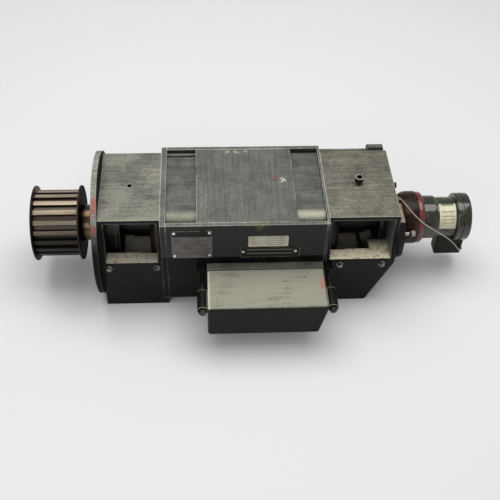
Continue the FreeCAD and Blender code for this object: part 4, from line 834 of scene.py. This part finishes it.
# %% [markdown]
# ## Window screws
# Under each window sill two hexagon screws with washers close the tapped holes for a
# cover grille. A washer is a cylinder with a bevelled rim. The head is a six-sided
# cylinder whose front edges are bevelled. Both ends of the sill get one, front and back.

# %% Model the window screws
def screw_row(places, side):
    """Hexagon heads on washers; side is -1 for the front of the motor and 1 for its back."""
    x, y, z = places[0]
    washer_depth, head_depth = 0.0016, 0.0046
    row = []
    for corners, radius, depth, start in ((24, 0.0072, washer_depth, 0.0),
                                          (6, 0.0058, head_depth, washer_depth)):
        middle = (x, y + side * (start + depth / 2), z)
        ring = new_cylinder(middle, radius, depth, corners, turn=FACING_FRONT)
        pick(ring, "FACE", lambda face: face.normal.y * side > 0.9)
        bpy.ops.mesh.bevel(offset=0.0006, segments=2, affect="EDGES")
        bpy.ops.object.mode_set(mode="OBJECT")
        row.append(ring)
    select_only(*row)
    bpy.ops.object.join()
    copy_to(row[0], places)
    return row[0]


housing_low, housing_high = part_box("de_housing")
screw_height = 0.1155
screw_stations = (-0.2760, -0.1790, 0.1978, 0.2860)
front_screws = screw_row([(x, housing_low[Y], screw_height) for x in screw_stations], side=-1)
finish_piece(front_screws, "front_window_screws", window_zinc)
back_screws = screw_row([(x, housing_high[Y], screw_height) for x in screw_stations], side=1)
finish_piece(back_screws, "back_window_screws", window_zinc)

# %% [markdown]
# ## Ends of the earth lead
# The thin lead of the encoder starts at a nut on the end plate and ends in a small
# gland on the plug housing. Both are turned pieces: a cylinder with a bevelled rim,
# its outer face inset and pushed in round the lead.

# %% Model nut and gland
def lead_end(middle, radius, depth, corners, turn, outward):
    """A ring round the lead with a bevelled rim and a dished outer face."""
    ring = new_cylinder(middle, radius, depth, corners, turn)
    way = Vector(outward)
    pick(ring, "FACE", lambda face: face.normal.dot(way) > 0.9)
    bpy.ops.mesh.bevel(offset=0.0007, segments=2, affect="EDGES")
    pick(ring, "FACE", lambda face: face.normal.dot(way) > 0.9)
    bpy.ops.mesh.inset(thickness=radius * 0.3)
    bpy.ops.mesh.inset(thickness=0.0002, depth=-0.0008)
    bpy.ops.object.mode_set(mode="OBJECT")
    return ring


plate_low, plate_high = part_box("nde_end_plate")
plug_low, plug_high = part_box("encoder_connector")
nut = lead_end(middle=(0.3180, -0.0237, plate_high[Z] + 0.002), radius=0.0052, depth=0.004, corners=6,
               turn=(0, 0, 0), outward=(0, 0, 1))
finish_piece(nut, "earth_nut", zinc)
gland = lead_end(middle=(0.483, plug_low[Y] - 0.0015, 0.056), radius=0.0032, depth=0.003, corners=16,
                 turn=FACING_FRONT, outward=(0, -1, 0))
finish_piece(gland, "earth_gland", oiled_bolts)

# %% [markdown]
# ## Turned castings of the encoder
# The bell that carries the encoder is a casting with a broad round shoulder. The red
# clamp ring behind it rounds down to the body, where a collar band follows, and the rear
# cap sits on a short neck and has a groove round it. The solids have plain chamfers and
# no collar. Here each piece is a cylinder on the shaft axis whose two rims are bevelled
# in eight steps. Where it has a bore, its end faces are inset down to the bore and
# deleted, and a bridge between the two open rims is the wall of the bore. Booleans join
# the bell's two bolt lugs and the cap's neck, and cut the groove.

# %% Helpers for turned castings
def turned_casting(start, end, radius, rounds, bore=None):
    """A solid on the shaft axis whose rims at start and end are rounded, with or without a bore."""
    middle = ((start + end) / 2, 0, AXIS_HEIGHT)
    casting = new_cylinder(middle, radius, end - start, corners=96, turn=ALONG_SHAFT)
    for rim, rounding, way in ((start, rounds[0], -1), (end, rounds[1], 1)):
        pick(casting, "EDGE", lambda edge: all(abs(vert.co.x - rim) < 1e-5 for vert in edge.verts))
        bpy.ops.mesh.bevel(offset=rounding, segments=8, affect="EDGES")
        if bore:
            pick(casting, "FACE", lambda face: face.normal.x * way > 0.999)
            bpy.ops.mesh.inset(thickness=radius - rounding - bore)
            bpy.ops.mesh.delete(type="FACE")
    if bore:
        bpy.ops.mesh.select_mode(type="EDGE")
        bpy.ops.mesh.select_non_manifold()
        bpy.ops.mesh.bridge_edge_loops()
    bpy.ops.mesh.select_all(action="SELECT")
    bpy.ops.mesh.normals_make_consistent(inside=False)
    bpy.ops.object.mode_set(mode="OBJECT")
    return casting


def bolt_lug(middle):
    """A short round lug with bevelled rims, its axis along the shaft."""
    lug = new_cylinder(middle, radius=0.008, depth=0.004, corners=32, turn=ALONG_SHAFT)
    pick(lug, "FACE", lambda face: abs(face.normal.x) > 0.9)
    bpy.ops.mesh.bevel(offset=0.001, segments=2, affect="EDGES")
    bpy.ops.object.mode_set(mode="OBJECT")
    return lug


def combine(piece, other, operation):
    """Adds the other shape to the piece, or cuts it away, and removes the other."""
    select_only(piece)
    boolean = piece.modifiers.new("combine", "BOOLEAN")
    boolean.operation = operation
    boolean.object = other
    bpy.ops.object.modifier_apply(modifier="combine")
    select_only(other)
    bpy.ops.object.delete()


# %% Model bell, ring, collar and cap
bell = turned_casting(start=0.326, end=0.371, radius=0.0565, rounds=(0.028, 0.002), bore=0.021)
for side in (-1, 1):
    combine(bell, bolt_lug((0.351, side * 0.0616, AXIS_HEIGHT - side * 0.0131)), "UNION")
finish_piece(bell, "encoder_bell_casting", bell_enamel)
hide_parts("encoder_bell")
clamp_ring = turned_casting(start=0.371, end=0.385, radius=0.055, rounds=(0.002, 0.007), bore=0.030)
finish_piece(clamp_ring, "encoder_clamp_ring", red_enamel)
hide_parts("encoder_ring")
collar = turned_casting(start=0.3955, end=0.4135, radius=0.0462, rounds=(0.0005, 0.003), bore=0.0425)
finish_piece(collar, "encoder_collar_band", encoder_enamel)

cap_low, cap_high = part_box("encoder_cap")
cap_start = cap_low[X]
cap_end = cap_high[X]
groove = (cap_start + cap_end) / 2
sharp = (0.0002, 0.0002)
cap = turned_casting(cap_start + 0.006, cap_end, radius=0.0513, rounds=(0.003, 0.005))
neck = turned_casting(cap_start, cap_start + 0.010, radius=0.0428, rounds=sharp)
combine(cap, neck, "UNION")
groove_cut = turned_casting(groove - 0.002, groove + 0.002, radius=0.0560, rounds=sharp, bore=0.0493)
combine(cap, groove_cut, "DIFFERENCE")
finish_piece(cap, "encoder_cap_casting", encoder_enamel)
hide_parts("encoder_cap")

# %% [markdown]
# ## Rounded blocks
# Five cast or moulded blocks are rounder than a chamfer shows. The lug on the back edge
# is a smooth hump, and a low lip beside it ends the rear hood. In the two bands beside
# the top plate a filled seam levels the core's rear corner, and the plug housing is round
# at its back. Each is a box whose chosen edges are bevelled in six steps.

# %% Model the blocks
def rounded_block(low, high, roundings):
    """A box between two corners; each rounding is a test for edges and a radius."""
    low, high = Vector(low), Vector(high)
    block = new_box((low + high) / 2, high - low)
    for wanted, radius in roundings:
        pick(block, "EDGE", wanted)
        bpy.ops.mesh.bevel(offset=radius, segments=6, affect="EDGES")
    bpy.ops.object.mode_set(mode="OBJECT")
    return block


def at(edge, axis, value):
    return all(abs(vert.co[axis] - value) < 1e-5 for vert in edge.verts)


def upright(edge):
    return abs(edge.verts[0].co.z - edge.verts[1].co.z) > 0.01


lug_low, lug_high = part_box("rear_lug")
hump = rounded_block(lug_low, lug_high, [(lambda edge: at(edge, Z, lug_high[Z]), 0.0065)])
finish_piece(hump, "lug_casting", frame_paint)
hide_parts("rear_lug")
lip_low = (0.1685, 0.0985, 0.2240)
lip_high = (lug_low[X] - 0.0005, 0.1065, 0.2378)
lip = rounded_block(lip_low, lip_high, [(lambda edge: at(edge, Z, lip_high[Z]), 0.003)])
finish_piece(lip, "hood_lip", nde_paint)
seam_top = 0.2298
for name, start, end, back in (("drive_end_seam", -0.1568, -0.0962, 0.0940),
                               ("rear_seam", 0.1052, 0.1628, 0.1025)):
    seam = rounded_block((start, 0.066, 0.206), (end, back, seam_top),
                         [(lambda edge: at(edge, Y, back) and at(edge, Z, seam_top), 0.0025)])
    finish_piece(seam, name, core_paint)
plug = rounded_block(plug_low, plug_high, [(lambda edge: upright(edge) and at(edge, Y, plug_high[Y]), 0.020),
                                           (lambda edge: upright(edge) and at(edge, Y, plug_low[Y]), 0.004),
                                           (lambda edge: at(edge, Z, plug_low[Z]), 0.003)])
finish_piece(plug, "plug_housing", plug_plastic)
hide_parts("encoder_connector")

# %% [markdown]
# ## End plate
# The rusty plate that closes the rear housing carries the nut of the earth lead on a tab at
# the front, and its upper edge is lower behind the tab. A copy of the solid has its loose
# triangles merged first, and then a block with one rounded edge is cut away, which leaves a
# small round at the foot of the tab.

# %% Cut the end plate
tab_back = -0.0150
tab_height = 0.0140
margin = 0.01
end_plate = bpy.data.objects.new("end_plate_casting", nodes["nde_end_plate"].data.copy())
bpy.context.scene.collection.objects.link(end_plate)
select_only(end_plate)
bpy.ops.object.mode_set(mode="EDIT")
bpy.ops.mesh.select_all(action="SELECT")
bpy.ops.mesh.remove_doubles(threshold=1e-6)
bpy.ops.object.mode_set(mode="OBJECT")
cut_low = Vector((plate_low[X] - margin, tab_back, plate_high[Z] - tab_height))
cut_high = Vector((plate_high[X] + margin, plate_high[Y] + margin, plate_high[Z] + margin))
cut_away = rounded_block(cut_low, cut_high,
                         [(lambda edge: at(edge, Y, cut_low.y) and at(edge, Z, cut_low.z), 0.006)])
combine(end_plate, cut_away, "DIFFERENCE")
finish_piece(end_plate, "end_plate_casting", plate_paint)
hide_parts("nde_end_plate")

# %% End of the scene
print("scene built")
